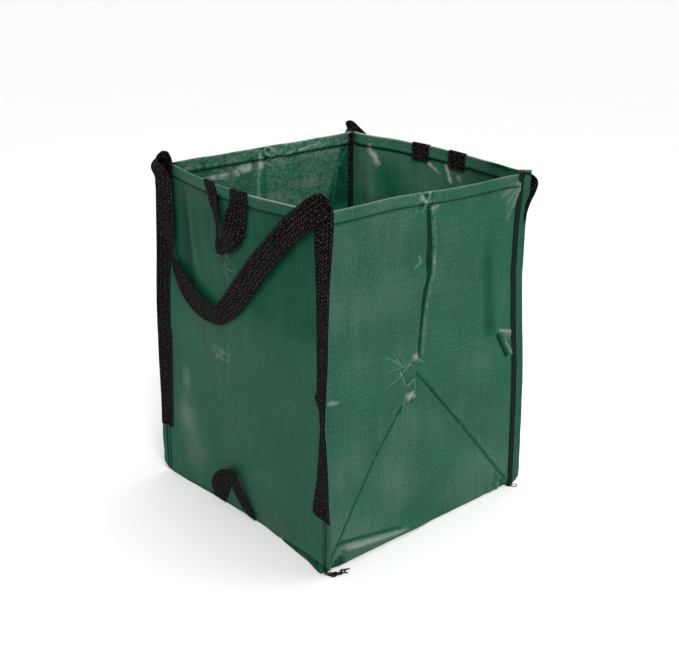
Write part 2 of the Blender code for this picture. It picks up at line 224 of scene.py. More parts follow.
def noise_of(place, scale, detail=2.0, stretch=(1, 1, 1)):
    """Cloudy noise on a place, stretched by each axis."""
    moved = add_node(place.id_data, "ShaderNodeMapping", {"Vector": place, "Scale": stretch}).outputs[0]
    return add_node(place.id_data, "ShaderNodeTexNoise", {"Vector": moved, "Scale": scale, "Detail": detail}).outputs[0]


def fade(share, low, high, low_to=0.0, high_to=1.0):
    """A value spread from one range to another and kept inside it."""
    sockets = {"Value": share, 1: low, 2: high, 3: low_to, 4: high_to}
    return add_node(share.id_data, "ShaderNodeMapRange", sockets).outputs[0]


def blend_colour(share, first, second):
    """The first colour where the share is 0, and the second where it is 1. A colour is a link or three numbers."""
    first, second = ((*value, 1) if isinstance(value, tuple) else value for value in (first, second))
    return add_node(share.id_data, "ShaderNodeMix", {0: share, 6: first, 7: second}, data_type="RGBA").outputs[2]


def new_finish(name, **fixed):
    """A material with its shader, and the shader's fixed sockets set."""
    material = bpy.data.materials.new(name)
    material.use_nodes = True
    shader = material.node_tree.nodes["Principled BSDF"]
    for key, value in fixed.items():
        shader.inputs[key.replace("_", " ")].default_value = value
    return material, material.node_tree, shader


def set_bump(shader, height, distance, strength=1.0):
    """Bump on the shader from a height between 0 and 1, which is that distance deep."""
    made = add_node(shader.id_data, "ShaderNodeBump", {"Height": height, "Distance": distance, "Strength": strength})
    shader.id_data.links.new(made.outputs[0], shader.inputs["Normal"])


def to_mesh(name, made):
    """A mesh from what was built with bmesh."""
    mesh = bpy.data.meshes.new(name)
    made.to_mesh(mesh)
    made.free()
    return mesh


# %% [markdown]
# ## Thread tails
# The seam thread was cut long at two bottom corners and lies on the floor there as a short dark tail. It is a limp
# cord: one smooth open curve through the same route as its solid, round and thin. A few loose strands, which are
# short open curves too, make it look frayed.

# %% Thread finish
THREAD_DARK = (0.003, 0.0025, 0.003)
THREAD_DUST = (0.022, 0.018, 0.019)


def thread_finish():
    """Black spun thread, faintly ridged and dusty."""
    material, tree, shader = new_finish("black_thread", Roughness=0.75, Specular_IOR_Level=0.15)
    speck = noise_of(add_node(tree, "ShaderNodeTexCoord").outputs["Object"], 1400, 2)
    tree.links.new(blend_colour(fade(speck, 0.35, 0.75), THREAD_DARK, THREAD_DUST), shader.inputs["Base Color"])
    set_bump(shader, speck, 0.2 * MM)
    return material


THREAD_FINISH = thread_finish()

# %% Tails and strands
TAIL = 1.6 * MM
TAIL_GAP = 0.3 * MM
STRAND = 2.6 * MM
STRAND_LIFTS = (2.2, 4.5, 2.0, 3.6, 1.6)
FRONT_TAIL = ((3, 0), (8, -5), (14, -12), (18, -20), (20, -29), (19, -38), (14, -45))
BACK_TAIL = ((4, 0), (9, 1), (15, 4), (19, 8), (20, 14), (16, 17), (10, 16))


def link_piece(name, data, finish):
    """An object at the origin with one finish."""
    data.materials.append(finish)
    piece = bpy.data.objects.new(name, data)
    bpy.context.scene.collection.objects.link(piece)
    return piece


def smooth_line(points, steps):
    """A curve through the points, with that many steps between each two."""
    rows = np.array(points, float)
    rows = np.vstack([2 * rows[0] - rows[1], rows, 2 * rows[-1] - rows[-2]])
    line = []
    for a, b, c, d in zip(rows, rows[1:], rows[2:], rows[3:]):
        for t in np.arange(steps) / steps:
            line.append(0.5 * (2 * b + (c - a) * t + (2 * a - 5 * b + 4 * c - d) * t * t
                               + (3 * b - a - 3 * c + d) * t ** 3))
    return np.array(line + [rows[-2]])


def thread_lines(name, routes, thickness):
    """Round threads through each route's points."""
    curve = bpy.data.curves.new(name, "CURVE")
    curve.dimensions = "3D"
    curve.bevel_depth = thickness / 2
    curve.bevel_resolution = 2
    curve.use_fill_caps = True
    for route in routes:
        run = curve.splines.new("POLY")
        run.points.add(len(route) - 1)
        for point, place in zip(run.points, route):
            point.co = (*place, 1)
    return link_piece(name, curve, THREAD_FINISH)


def floor_route(side, points, heights):
    """A route over the floor from points in mm outside a bottom corner. side is -1 in front and 1 behind."""
    corner = half_side(0)
    return smooth_line([(corner + x * MM, side * (corner + y * MM), z) for (x, y), z in zip(points, heights)], 4)


for word, side, route in (("front", -1, FRONT_TAIL), ("back", 1, BACK_TAIL)):
    points = floor_route(side, route, [OTHER_BASE - TAIL_GAP - TAIL / 2] + [TAIL / 2] * (len(route) - 1))
    tail = thread_lines(f"{word}_tail", [points], TAIL)
    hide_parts(f"{word}_thread_tail")
    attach(tail, f"{word}_side")

STRANDS = {
    "front": (
        ((2, -3), (6, -6), (11, -10), (14, -16), (12, -22)), ((5, -5), (12, -10), (18, -16), (17, -23), (21, -27)),
        ((8, -4), (14, -5), (19, -10), (20, -17)), ((11, -16), (17, -21), (18, -29), (14, -34), (18, -39)),
        ((14, -24), (20, -30), (25, -32), (27, -38)), ((13, -30), (18, -38), (17, -45), (21, -48)),
        ((6, -10), (14, -17), (21, -20), (23, -27)), ((9, -14), (13, -20), (20, -24), (19, -31))),
    "back": (
        ((-5, 5), (1, 8), (7, 6), (8, 0)), ((-3, -2), (3, 3), (9, 5), (14, 2)), ((0, 8), (6, 11), (12, 9)),
        ((2, -3), (8, -2), (10, 4), (6, 8)))}

for word, side in SIDES:
    routes = [floor_route(side, strand, np.roll(STRAND_LIFTS, -number)[:len(strand)] * MM)
              for number, strand in enumerate(STRANDS[word])]
    strands = thread_lines(f"{word}_tail_strands", routes, STRAND)
    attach(strands, f"{word}_side")

# %% [markdown]
# ## The green cloth's finish
# The cloth is plain weave of flat plastic tapes about 2.6 mm wide, coated so that it gleams softly. The weave could be
# an image, but a picture would blur up close. Here it is worked out from the cloth's own flat measure, its UV map in
# metres, so that the tapes run true on every side: a low rise where a tape passes over its neighbour, streaks where
# one tape is lighter than the next, and wide cloudy patches. A painted sheen of pale flecks greys the green. A value
# kept at each corner of the cloth adds pale rubbed lines where the cloth was folded and painted highlights where folds
# catch the light, and below 0 it adds painted shade in valleys and hollows.

# %% Woven cloth
TAPE = 2.6 * MM
CLOTH_DARK = (0.0025, 0.047, 0.024)
CLOTH_LIGHT = (0.011, 0.096, 0.051)
# Next come the grey of the painted sheen and the dark green of painted shade.
CLOTH_PAINTED_SHEEN = (0.21, 0.25, 0.23)
CLOTH_PAINTED_SHADE = (0.0005, 0.012, 0.006)
COAT_SHARE = 0.03


def woven_cloth():
    """Coated plain weave in the cloth's own flat measure, with painted sheen, painted highlights and painted shade."""
    material, tree, shader = new_finish("green_cloth", Specular_IOR_Level=0.04, Coat_Weight=COAT_SHARE,
                                        Coat_Roughness=0.16, Coat_IOR=1.45)
    flat = add_node(tree, "ShaderNodeUVMap", uv_map="flat").outputs[0]
    split = add_node(tree, "ShaderNodeSeparateXYZ", {0: flat})
    u = calc("DIVIDE", split.outputs[0], TAPE)
    v = calc("DIVIDE", split.outputs[1], TAPE)

    def tape(along, across, sign):
        """Height of the tapes that run one way, which dip under each second crossing."""
        wave = calc("SINE", times(plus(along, calc("FLOOR", across)), math.pi))
        return times(calc("POWER", humps(across), 0.5), calc("MULTIPLY_ADD", wave, sign, 0.55))

    weave = calc("MAXIMUM", tape(v, u, 0.45), tape(u, v, -0.45))
    up_streaks = noise_of(flat, 1, 3, (330, 9, 1))
    side_streaks = noise_of(flat, 1, 3, (9, 330, 1))
    patches = noise_of(flat, 7, 4)
    # The value kept at each corner: pale rubbed wear and painted highlights above 0, painted shade below 0.
    rub_and_painted_light = add_node(tree, "ShaderNodeAttribute", attribute_name="rub_and_painted_light").outputs["Fac"]
    tone = plus(times(fade(up_streaks, 0.3, 0.7), 0.42), times(fade(side_streaks, 0.3, 0.7), 0.38))
    tone = plus(tone, times(fade(patches, 0.3, 0.7), 0.3))
    tone = times(tone, fade(weave, 0.2, 0.9, 0.75, 1.0))
    colour = blend_colour(tone, CLOTH_DARK, CLOTH_LIGHT)
    # Painted sheen: pale flecks, weaker in some patches and stronger where the corner value is higher, grey the green
    # as the coat's reflection would.
    flecks = fade(noise_of(flat, 210, 2), 0.38, 0.68, 0.15, 1.0)
    painted_sheen = times(times(flecks, fade(patches, 0.32, 0.68, 0.8, 1.0)), fade(rub_and_painted_light, -0.5, 0.5, 0.0, 2.0))
    colour = blend_colour(times(painted_sheen, 0.13), colour, CLOTH_PAINTED_SHEEN)
    colour = blend_colour(times(rub_and_painted_light, 0.3), colour, tuple(0.35 + 0.3 * c for c in CLOTH_LIGHT))
    # Painted shade: towards the darkest green where that value is below -0.3.
    colour = blend_colour(calc("MULTIPLY_ADD", rub_and_painted_light, -1.0, -0.3), colour, CLOTH_PAINTED_SHADE)
    tree.links.new(colour, shader.inputs["Base Color"])
    tree.links.new(fade(plus(patches, rub_and_painted_light), 0.3, 0.8, 0.36, 0.52), shader.inputs["Roughness"])
    relief = calc("MULTIPLY_ADD", weave, 0.5, times(side_streaks, 0.35))
    set_bump(shader, calc("MULTIPLY_ADD", up_streaks, 0.35, relief), 0.3 * MM, 0.5)
    return material


CLOTH_FINISH = woven_cloth()
print("cloth finish with tapes of", TAPE / MM, "mm")

# %% [markdown]
# ## Folds in the cloth
# The bag was sold folded flat, so its cloth keeps sharp creases, and it sags in soft hollows between the seams. Both
# are real shapes: a crease is a line with a depth that dies away on both sides, a hollow is the same with a wide,
# round section. A simulation would not give these particular folds, so they are placed one by one.

# %% Creases and ripples


def ease(low, high, value):
    """0 below low, 1 above high, and smooth between."""
    t = np.clip((value - low) / (high - low), 0, 1)
    return t * t * (3 - 2 * t)


def bell(value, width):
    """1 at 0, and dying away smoothly over the width on both sides."""
    return np.exp(-(value / width) ** 2)


def near_line(u, v, start, end, taper):
    """Distance from a line, and how much of a crease is left towards the line's ends."""
    a, b = np.array(start, float), np.array(end, float)
    way = b - a
    along = ((u - a[0]) * way[0] + (v - a[1]) * way[1]) / (way @ way)
    t = np.clip(along, 0, 1)
    away = np.hypot(u - a[0] - way[0] * t, v - a[1] - way[1] * t)
    side = np.sign((u - a[0]) * way[1] - (v - a[1]) * way[0])
    left = ease(0, taper, t) * ease(0, taper, 1 - t)
    return away, side, left


def crease(u, v, start, end, depth, width, taper):
    """A sharp fold: full depth on the line, dying away over its width."""
    away, _, left = near_line(u, v, start, end, taper)
    return depth * left * np.exp(-away / width)


def hollow(u, v, start, end, depth, width, taper):
    """A soft fold with a round section."""
    away, _, left = near_line(u, v, start, end, taper)
    return depth * left * bell(away, width)


def laid(shape, u, v, rows, unit=MM):
    """The sum of creases or hollows. A row has a start and an end in mm, a depth, a width in mm and a taper."""
    return sum(shape(u, v, (a * MM, b * MM), (c * MM, d * MM), depth * unit, width * MM, taper)
               for a, b, c, d, depth, width, taper in rows)


def spots(u, v, rows, power=2):
    """The sum of spots. A row has a middle, half a width and half a height in mm, and a strength."""
    return sum(much * np.exp(-((u - a * MM) / (wide * MM)) ** power - ((v - b * MM) / (tall * MM)) ** power)
               for a, b, wide, tall, much in rows)


def chain(points, *rest):
    """A row for each stretch of a line through the points, all with the same depth, width and taper."""
    return tuple((*start, *end, *rest) for start, end in zip(points, points[1:]))


def ripples(u, v, size, seed):
    """Soft uneven waves of about that size, between -1 and 1."""
    shift = Vector((seed * 7.31, seed * 3.17, seed * 1.93))
    return np.array([noise.noise(Vector((a / size, b / size, 0)) + shift) for a, b in zip(u, v)])


def crumple(u, v, size, seed):
    """1 on the sharp ridges of crushed cloth, and less on the facets between them."""
    first = 1 - np.abs(ripples(u, v, size, seed)) * 2.2
    second = 1 - np.abs(ripples(u, v, size * 0.55, seed + 5)) * 2.2
    return 0.65 * first + 0.35 * second


# %% [markdown]
# ## A sheet of cloth with its hem
# Each side is one sheet that starts at the base, climbs to the rim, turns inwards over a small radius and hangs down
# inside as the hem. The sheet is a fine grid: each of its corners knows its flat place on the cloth, which is kept as
# the UV map, and a function puts it at its place on the bag. Solidify then gives it thickness.

# %% Cloth sheets
CLOTH = 0.9 * MM
HEM_HEIGHT = 27 * MM
HEM_RADIUS = 1.3 * MM
HEM_ROW = HEIGHT - HEM_HEIGHT + 3 * MM
TURN_START = HEIGHT - 0.6 * MM - HEM_RADIUS
HEM_INSET = 9 * MM
HEM_PUCKER = 1.1 * MM
HEM_SEED = 2.0
TURN_ROWS = 7
INNER_ROWS = 9


def hem_rows(base, count):
    """Rows up the cloth and round the hem: height, distance inwards and length of cloth so far."""
    rows = [(z, 0.0, z) for z in np.linspace(base, TURN_START, count)]
    for angle in np.linspace(0, math.pi, TURN_ROWS)[1:]:
        rows.append((TURN_START + HEM_RADIUS * math.sin(angle), HEM_RADIUS * (1 - math.cos(angle)),
                     TURN_START + HEM_RADIUS * angle))
    turned = rows[-1][2]
    for drop in np.linspace(0, TURN_START - HEIGHT + HEM_HEIGHT, INNER_ROWS)[1:]:
        rows.append((TURN_START - drop, 2 * HEM_RADIUS, turned + drop))
    return np.array(rows)


def flat_grid(columns, rows):
    """A grid, and each corner's column and row."""
    grid = bmesh.new()
    bmesh.ops.create_grid(grid, x_segments=columns - 1, y_segments=rows - 1, size=1)
    place = np.array([(v.co.x, v.co.y) for v in grid.verts])
    numbers = np.rint((place + 1) / 2 * (columns - 1, rows - 1)).astype(int)
    return grid, numbers[:, 0], numbers[:, 1]


def finish_sheet(name, grid, places, flat, finish, thickness, rub_and_painted_light=None, turned=False):
    """Moves the grid's corners to their places and makes it a closed sheet with its flat measure as UV map."""
    mesh = to_mesh(name, grid)
    places = np.asarray(places, float).reshape(-1, 3)
    if turned:
        places = places * HALF_TURN
    mesh.vertices.foreach_set("co", spread_corner(places).astype(np.float32).ravel())
    corners = np.empty(len(mesh.loops), int)
    mesh.loops.foreach_get("vertex_index", corners)
    layer = mesh.uv_layers.new(name="flat")
    layer.data.foreach_set("uv", np.asarray(flat, np.float32)[corners].ravel())
    # Each corner keeps a value for the finish: pale rubbed wear and painted highlights above 0, painted shade below 0.
    mark = mesh.attributes.new("rub_and_painted_light", "FLOAT", "POINT")
    mark.data.foreach_set("value", np.asarray(np.zeros(len(places)) if rub_and_painted_light is None else rub_and_painted_light, np.float32))
    mesh.shade_smooth()
    piece = link_piece(name, mesh, finish)
    solid = piece.modifiers.new("Thickness", "SOLIDIFY")
    solid.thickness = thickness
    solid.offset = 0
    return piece


# %% [markdown]
# ## Front and back cloth
# The front is drawn outwards at the mouth and held flat at the corners by the webbing. Its marks in the picture are a
# faint crease up the middle with two small crumples on it, a soft hollow beside the left webbing, a puckered hem,
# and a lower edge that is drawn in between the corners and rises from the floor towards the right one. The crease is
# rubbed pale with a painted highlight, the crumples and the rim get painted highlights, and the hollow, the hem's
# stitch row and the left of the foot get painted shade, with patches of painted sheen low on the left. The back gets
# the same cloth, turned, with its own unevenness, painted highlight streaks and painted shade inside. The tables list
# the folds and the marks one by one, in millimetres across and up the cloth.

# %% Front and back cloth
PANEL_COLUMNS = 141
PANEL_ROWS = 232


def hem_relief(across, z):
    """The double hem stands proud, and the stitch row draws the cloth in and puckers it."""
    band = 0.5 * MM * ease(HEM_ROW, HEM_ROW + 6 * MM, z)
    groove = -0.9 * MM * bell(z - HEM_ROW, 2.2 * MM)
    pucker = HEM_PUCKER * ripples(across, z * 0.25, 9 * MM, HEM_SEED) * bell(z - HEM_ROW, 11 * MM)
    return band + groove + pucker


RIM_RIPPLE = 1.3 * MM
MIDDLE_CREASE = ((-22, 575), (-22, 500), (-28, 431), (-35, 362), (-43, 286))
PANEL_CREASES = (
    *chain(MIDDLE_CREASE, -1.0, 4, 0.02), (6, 590, -30, 545, 2.6, 5, 0.25), (-30, 575, 16, 548, -2.4, 4, 0.25),
    (-20, 530, 18, 560, 1.6, 4, 0.25), (-80, 385, -40, 325, 2.2, 6, 0.25), (-70, 350, -15, 322, -2.0, 5, 0.25))
PANEL_HOLLOWS = (
    (-196, 705, -158, 460, -5.0, 20, 0.4), (-150, 690, -120, 500, 2.5, 18, 0.4), (205, 700, 190, 500, -3.0, 16, 0.4),
    (-150, 320, -120, 60, 3.0, 50, 0.4), (-200, 340, -20, 100, -1.5, 30, 0.4))
# A pale line along the middle crease, part rubbed wear and part painted highlight; then a second pale line, and painted
# shade in the hollow beside the left webbing.
PANEL_RUBS_AND_HIGHLIGHT = chain(MIDDLE_CREASE, 0.45, 1.3, 0.02)
PANEL_PALE_LINE_AND_SHADE = ((-16, 427, -25, 345, 0.5, 1.3, 0.1), (-200, 720, -155, 440, -0.45, 22, 0.4))
# Patches of painted sheen, greyer areas mostly low on the left of the front.
PANEL_SHEEN_SPOTS = ((-190, 260, 22, 35, 0.5), (-195, 165, 35, 45, 0.6), (-165, 85, 40, 50, 0.45), (-75, 300, 30, 50, 0.25),
               (100, 120, 70, 60, 0.2))
# Where the two small crumples on the middle crease get painted highlights on their ridges.
LOWER_CRUMPLE_HIGHLIGHT = ((-55, 357, 35, 18, 1.6),)
UPPER_CRUMPLE_HIGHLIGHT = ((-6, 550, 17, 15, 2.6),)
# Painted highlight streaks inside the back, below the hem.
BACK_HIGHLIGHT_STREAKS = ((199, 690, 165, 640, 2.4, 7, 0.15), (27, 676, -16, 655, 2.4, 3, 0.15), (-28, 684, -50, 638, 2.4, 4, 0.15),
             (-66, 660, -80, 655, 2.4, 5, 0.15))
# Painted shade inside the back: a wide soft patch and a line along the hem's top.
BACK_SHADES = ((170, 670, 100, 530, -0.6, 30, 0.4), (-140, 709, -250, 706, -1.2, 4, 0.4))
RISE_PLACES = (0.098, 0.118, 0.150, 0.200, 0.262)
RISES = (0, 4 * MM, 12 * MM, 17 * MM, 20 * MM)
ARCH = 3 * MM
ARCH_MIDDLE = -60 * MM
ARCH_HALF = 150 * MM
LOW_END = 60 * MM


def panel_relief(x, z, word):
    """How far the front or back cloth stands out from its smooth shape."""
    seed = SEEDS[word]
    lift = hem_relief(x, z) + laid(crease, x, z, PANEL_CREASES) + laid(hollow, x, z, PANEL_HOLLOWS)
    middle = ease(0, 0.05, half_side(z) - np.abs(x))
    lift += middle * MM * (1.4 * ripples(x, z, 0.11, seed) + 0.45 * ripples(x, z, 0.035, seed + 1))
    close = bell(x + 0.02, 0.05) * ease(0.28, 0.33, z) * (1 - ease(0.58, 0.62, z))
    return lift + close * 0.8 * MM * crumple(x, z, 0.022, seed)


def panel_out(x, z, word):
    """How far out the front or back cloth stands."""
    return half_side(z) + bow(x, z) + panel_relief(x, z, word)


def panel_tone(x, z, word):
    """Where the cloth is rubbed pale or gets painted highlights and painted sheen, above 0, and painted shade, below 0.
    """
    seed = SEEDS[word]
    # Painted highlight along the top of the rim, brighter towards the right.
    tone = bell(z - HEIGHT, 1.6 * MM) * (0.8 + 1.8 * ease(0.05, 0.08, x))
    tone += laid(crease, x, z, PANEL_RUBS_AND_HIGHLIGHT, 1) + laid(hollow, x, z, PANEL_PALE_LINE_AND_SHADE, 1) + spots(x, z, PANEL_SHEEN_SPOTS)
    # Painted highlights on the ridges of the two crumples.
    tone += np.clip(crumple(x, z, 0.016, seed + 6) - 0.40, -0.1, 1) * spots(x, z, LOWER_CRUMPLE_HIGHLIGHT)
    tone += np.clip(crumple(x, z, 0.013, seed + 4) - 0.35, 0, 1) * spots(x, z, UPPER_CRUMPLE_HIGHLIGHT)
    tone += 0.14 * ripples(x, z, 0.09, seed + 8) + 0.10 * ripples(x, z * 0.4, 0.024, seed + 9)
    # Painted shade along the hem's stitch row.
    tone -= 0.7 * bell(z - HEM_ROW, 2.4 * MM)
    # Painted shadow along the foot, under the bottom seam, fading out towards the right.
    tone -= 1.1 * bell(z, 5 * MM) * ease(0.06, -0.10, x)
    # The upper front is made darker: less painted sheen and a little of the painted shade colour.
    if word == "front":
        tone -= 0.35 * ease(0.42, 0.50, z) * (1 - ease(0.68, 0.70, z))
    # Painted light on the back: its upper cloth is lighter, with painted shade and painted highlight streaks inside.
    else:
        tone += 0.25 * ease(0.50, 0.60, z) + laid(hollow, x, z, BACK_SHADES, 1)
        tone += laid(hollow, x, z, BACK_HIGHLIGHT_STREAKS, 1) * np.clip(0.75 + ripples(x, z, 0.012, 5), 0.2, 1.2)
    # Lowered by 0.14, so the front and back get less painted sheen than the gussets.
    return np.clip(tone - 0.14, -1.3, 2.8)


def rim_ripple(across, z, seed):
    """How the rim waves up and down."""
    return RIM_RIPPLE * ripples(across, 0 * z, 0.07, seed + 2) * ease(HEIGHT - 0.05, HEIGHT, z)


def side_cloth(word, base):
    """The front or back cloth with its hem."""
    rows = hem_rows(base, PANEL_ROWS)
    grid, column, row = flat_grid(PANEL_COLUMNS, len(rows))
    z, inwards, length = rows[row].T
    share = np.linspace(-1, 1, PANEL_COLUMNS)[column]
    x = share * (half_side(z) + 0.6 * MM - HEM_INSET * ease(0, 2 * HEM_RADIUS, inwards))
    arch = ARCH * np.cos(np.clip((x - ARCH_MIDDLE) / ARCH_HALF, -1, 1) * math.pi / 2)
    low = ease(LOW_END, 0, z) * (arch + np.interp(x, RISE_PLACES, RISES))
    up = z + low + rim_ripple(x, z, SEEDS[word])
    places = np.column_stack([x, inwards - panel_out(x, z, word), up])
    flat = np.column_stack([x, length])
    rub_and_painted_light = panel_tone(x, z, word)
    return finish_sheet(f"{word}_cloth", grid, places, flat, CLOTH_FINISH, CLOTH, rub_and_painted_light, word == "back")


for word, base in (("front", FRONT_BASE), ("back", OTHER_BASE)):
    cloth = side_cloth(word, base)
    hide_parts(f"{word}_panel")
    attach(cloth, f"{word}_side")
    print(cloth.name, len(cloth.data.vertices), "corners")

# %% [markdown]
# ## The gussets
# Each gusset folds inwards along a crease up its middle. The crease is pinched into a narrow groove from the rim to
# the point where the lower creases meet, and there the cloth is crushed into a star of small facets. Two long
# creases run from that point to the bottom corners. The groove's floor, the creases' valleys and a band near one seam
# get painted shade, and the facets, folds and rim get painted highlights. Only the inside of the left gusset can be
# seen, and it gets painted highlights there.

# %% Gusset cloth
GUSSET_COLUMNS = 184
STAR = (-0.018, 0.364)
DIAGONALS = (((-18, 352), (17, 312), 2.0), ((17, 312), (109, 200), 3.4), ((109, 200), (256, 12), 2.6),
             ((-52, 295), (-127, 205), 2.8), ((-127, 205), (-250, 20), 2.4))
FOLDS = (((13, 382), (80, 374), 0.35), ((80, 374), (212, 371), 0.6), ((-30, 372), (-105, 374), 0.7),
         ((-105, 374), (-238, 352), 0.3), ((-27, 379), (-66, 352), 2.2), ((-66, 352), (-98, 340), 1.6),
         ((-14, 381), (6, 366), 1.8), ((-60, 366), (-42, 330), 2.2), ((-42, 330), (-20, 340), 2.0),
         ((-20, 340), (-18, 315), 2.2), ((-18, 315), (-44, 300), 2.4), ((-44, 300), (-66, 270), 1.8),
         ((-100, 410), (-60, 380), 1.2), ((-75, 402), (-52, 372), 1.4))
GROOVE_SECTION = ((-34, 0), (-16, 0.8), (-11, 1.5), (-7, -6.5), (4, -8.0), (10, -4.5), (16, -0.6), (34, 0))


def snap(u, v, lines, reach):
    """Moves grid corners that are close to a crease onto it, so that the crease is sharp."""
    u, v = u.copy(), v.copy()
    for *ends, _ in lines:
        a, b = np.array(ends) * MM
        way = b - a
        t = np.clip(((u - a[0]) * way[0] + (v - a[1]) * way[1]) / (way @ way), 0, 1)
        foot_u, foot_v = a[0] + way[0] * t, a[1] + way[1] * t
        close = np.hypot(u - foot_u, v - foot_v) < reach
        u, v = np.where(close, foot_u, u), np.where(close, foot_v, v)
    return u, v


def fold_lines(y, z):
    """Sharp creases: how far they lift the cloth, and how much painted shade darkens their valleys and painted
    highlight lights the folds' ridges.
    """
    lift, shade = np.zeros(len(y)), np.zeros(len(y))
    for start, end, depth in DIAGONALS:
        away, side, left = near_line(y, z, np.array(start) * MM, np.array(end) * MM, 0.03)
        to_left = away * side / MM
        lift += depth * MM * left * np.interp(to_left, [-9, -3.2, 0, 3.5, 12], [0, 0.5, -1, 0.1, 0])
        shade += left * 0.9 * np.interp(np.abs(to_left + 0.6), [0, 3.4], [1, 0])
    for start, end, height in FOLDS:
        away, side, left = near_line(y, z, np.array(start) * MM, np.array(end) * MM, 0.08)
        to_left = away * side / MM
        lift += height * MM * left * np.interp(to_left, [-6, -2.8, 0, 7], [0, -0.5, 1, 0])
        strong = 0.65 * min(height / 2.0, 1.2) * left
        shade += strong * (np.interp(np.abs(to_left + 3.2), [0, 2.8], [1, 0]) - np.interp(away / MM, [0, 3], [1, 0]))
    return lift, shade


GROOVE_HEIGHTS = (0.365, 0.38, 0.47, 0.55, 0.66, 0.69, 0.712)
GROOVE_DEEP = (0, 0.55, 0.60, 0.9, 1.0, 0.15, 0.1)
GROOVE_MIDDLES = ((0.365, 0.385, 0.418, 0.466, 0.497, 0.52, 0.54, 0.606, 0.677),
                  (-0.011, -0.009, -0.0075, -0.003, 0.001, 0.006, 0.013, 0.0125, 0.008))
GROOVE_SPREADS = ((0.37, 0.42, 0.466, 0.50, 0.54, 0.58, 0.606, 0.68), (0.40, 0.42, 0.42, 0.60, 0.62, 0.95, 0.80, 0.62))


def groove(y, z):
    """The pinched fold from the rim down to the star: a steep drop on its left, a floor, and a rise on its right."""
    middle, spread = np.interp(z, *GROOVE_MIDDLES), np.interp(z, *GROOVE_SPREADS)
    steps, heights = np.array(GROOVE_SECTION).T
    return np.interp(z, GROOVE_HEIGHTS, GROOVE_DEEP) * MM * np.interp((y - middle) / spread / MM, steps, heights)


def shelf(y, z, across, up, wide, tall, height):
    """A facet that faces up: it stands further out towards its lower edge, and then drops back."""
    down = (up + tall / 2 - z) / tall
    stand = np.where(down < 1, np.clip(down, 0, 1), np.clip(1 - (down - 1) * 2.5, 0, 1))
    return height * stand * ease(-wide / 2 - 3 * MM, -wide / 2 + 3 * MM, -np.abs(y - across))


PULLS = ((216, 648), (196, 668), (234, 636), (222, 610))
GUSSET_CREASES = (
    (212, 376, 244, 312, -7.0, 4, 0.1), (232, 354, 256, 316, 4.0, 3, 0.1),
    *((252, 696, *end, 3.4, 4, 0.1) for end in PULLS), (-240, 668, -170, 600, -1.2, 6, 0.25),
    (-45, 580, -10, 556, 2.6, 4, 0.25), (-40, 555, 20, 572, -2.6, 4, 0.25), (12, 560, 70, 585, 1.4, 4, 0.25),
    (-228, 52, -56, 24, -4.0, 4, 0.1))
GUSSET_HOLLOWS = (
    (-18, 372, -252, 22, 1.6, 9, 0.05), (-18, 372, 256, 22, 1.6, 9, 0.05), (150, 700, 152, 370, 2.4, 16, 0.3),
    (196, 700, 200, 370, -5.0, 15, 0.3), (-225, 36, 30, 8, 7.0, 9, 0.2))
SHELVES = ((-32, 306, 26, 14, 6.0), (-20, 384, 12, 12, 4.5), (-56, 286, 14, 16, 3.5), (235, 370, 30, 12, 6.0),
           (-232, 352, 30, 14, 3.0))


def gusset_relief(y, z, hand):
    """How far a gusset stands out from its smooth shape."""
    seed = SEEDS[hand]
    lift = hem_relief(y, z) + groove(y, z) * (0.5 if hand == "right" else 0.25) + fold_lines(y, z)[0]
    lift += laid(crease, y, z, GUSSET_CREASES) + laid(hollow, y, z, GUSSET_HOLLOWS)
    lift += sum(shelf(y, z, *(value * MM for value in row)) for row in SHELVES)
    around = bell(np.hypot(y - STAR[0] + 0.016, (z - STAR[1] + 0.014) * 0.8), 0.036)
    lift += around * 4.0 * MM * (crumple(y, z, 0.023, seed) - 0.4)
    corner = bell(np.hypot(np.abs(y) - 0.228, (z - 0.014) * 1.3), 0.032)
    lift += corner * 8.0 * MM * (crumple(y, z, 0.018, seed + 3) - 0.6)
    pinched = bell(y - 0.004, 0.024) * ease(0.655, 0.680, z)
    lift += pinched * 4.0 * MM * (crumple(y, z, 0.014, seed + 4) - 0.5)
    middle = ease(0, 0.04, half_side(z) - np.abs(y))
    return lift + middle * MM * (1.2 * ripples(y, z, 0.10, seed) + 0.45 * ripples(y, z, 0.03, seed + 1))


def gusset_out(y, z, hand):
    """How far out a gusset's cloth stands."""
    return half_side(z) - dent(y, z) + gusset_relief(y, z, hand)


# Painted highlights: on the pinched hem, on small folds under the crease, and on the pulls from the top corner.
GUSSET_HIGHLIGHTS = (
    (-13, 708, 1, 687, 1.3, 2.5, 0.1), (2, 677, 36, 682, 0.9, 3, 0.1), (-16, 590, -10, 572, 0.9, 1.6, 0.1),
    (20, 592, 26, 562, 0.8, 1.6, 0.1), (-30, 566, -6, 574, 0.8, 1.4, 0.1),
    *((252, 696, *end, 0.5, 3, 0.1) for end in PULLS))
# Painted highlights and painted shade: along the notch by the seam, and the dark line and pale upturned strip above the
# base.
GUSSET_LIGHT_AND_SHADE_LINES = (
    (216, 380, 254, 369, 1.8, 1.8, 0.1), (211, 374, 243, 312, -1.5, 4.5, 0.1), (234, 352, 256, 316, 1.3, 2, 0.1),
    (-236, 54, -50, 22, -1.1, 3, 0.1), (-226, 40, -30, 12, 1.1, 6, 0.2))
# Painted highlights on the star's upturned facets and on an upturned facet near a corner, and a softer one by the
# notch.
GUSSET_HIGHLIGHT_SPOTS = ((-32, 308, 13, 6, 1.2), (-20, 386, 7, 6, 1.2), (-238, 356, 10, 2.5, 1.2), (-226, 352, 10, 2, 1.2))
GUSSET_SOFT_HIGHLIGHT = ((238, 362, 12, 8, 0.5),)
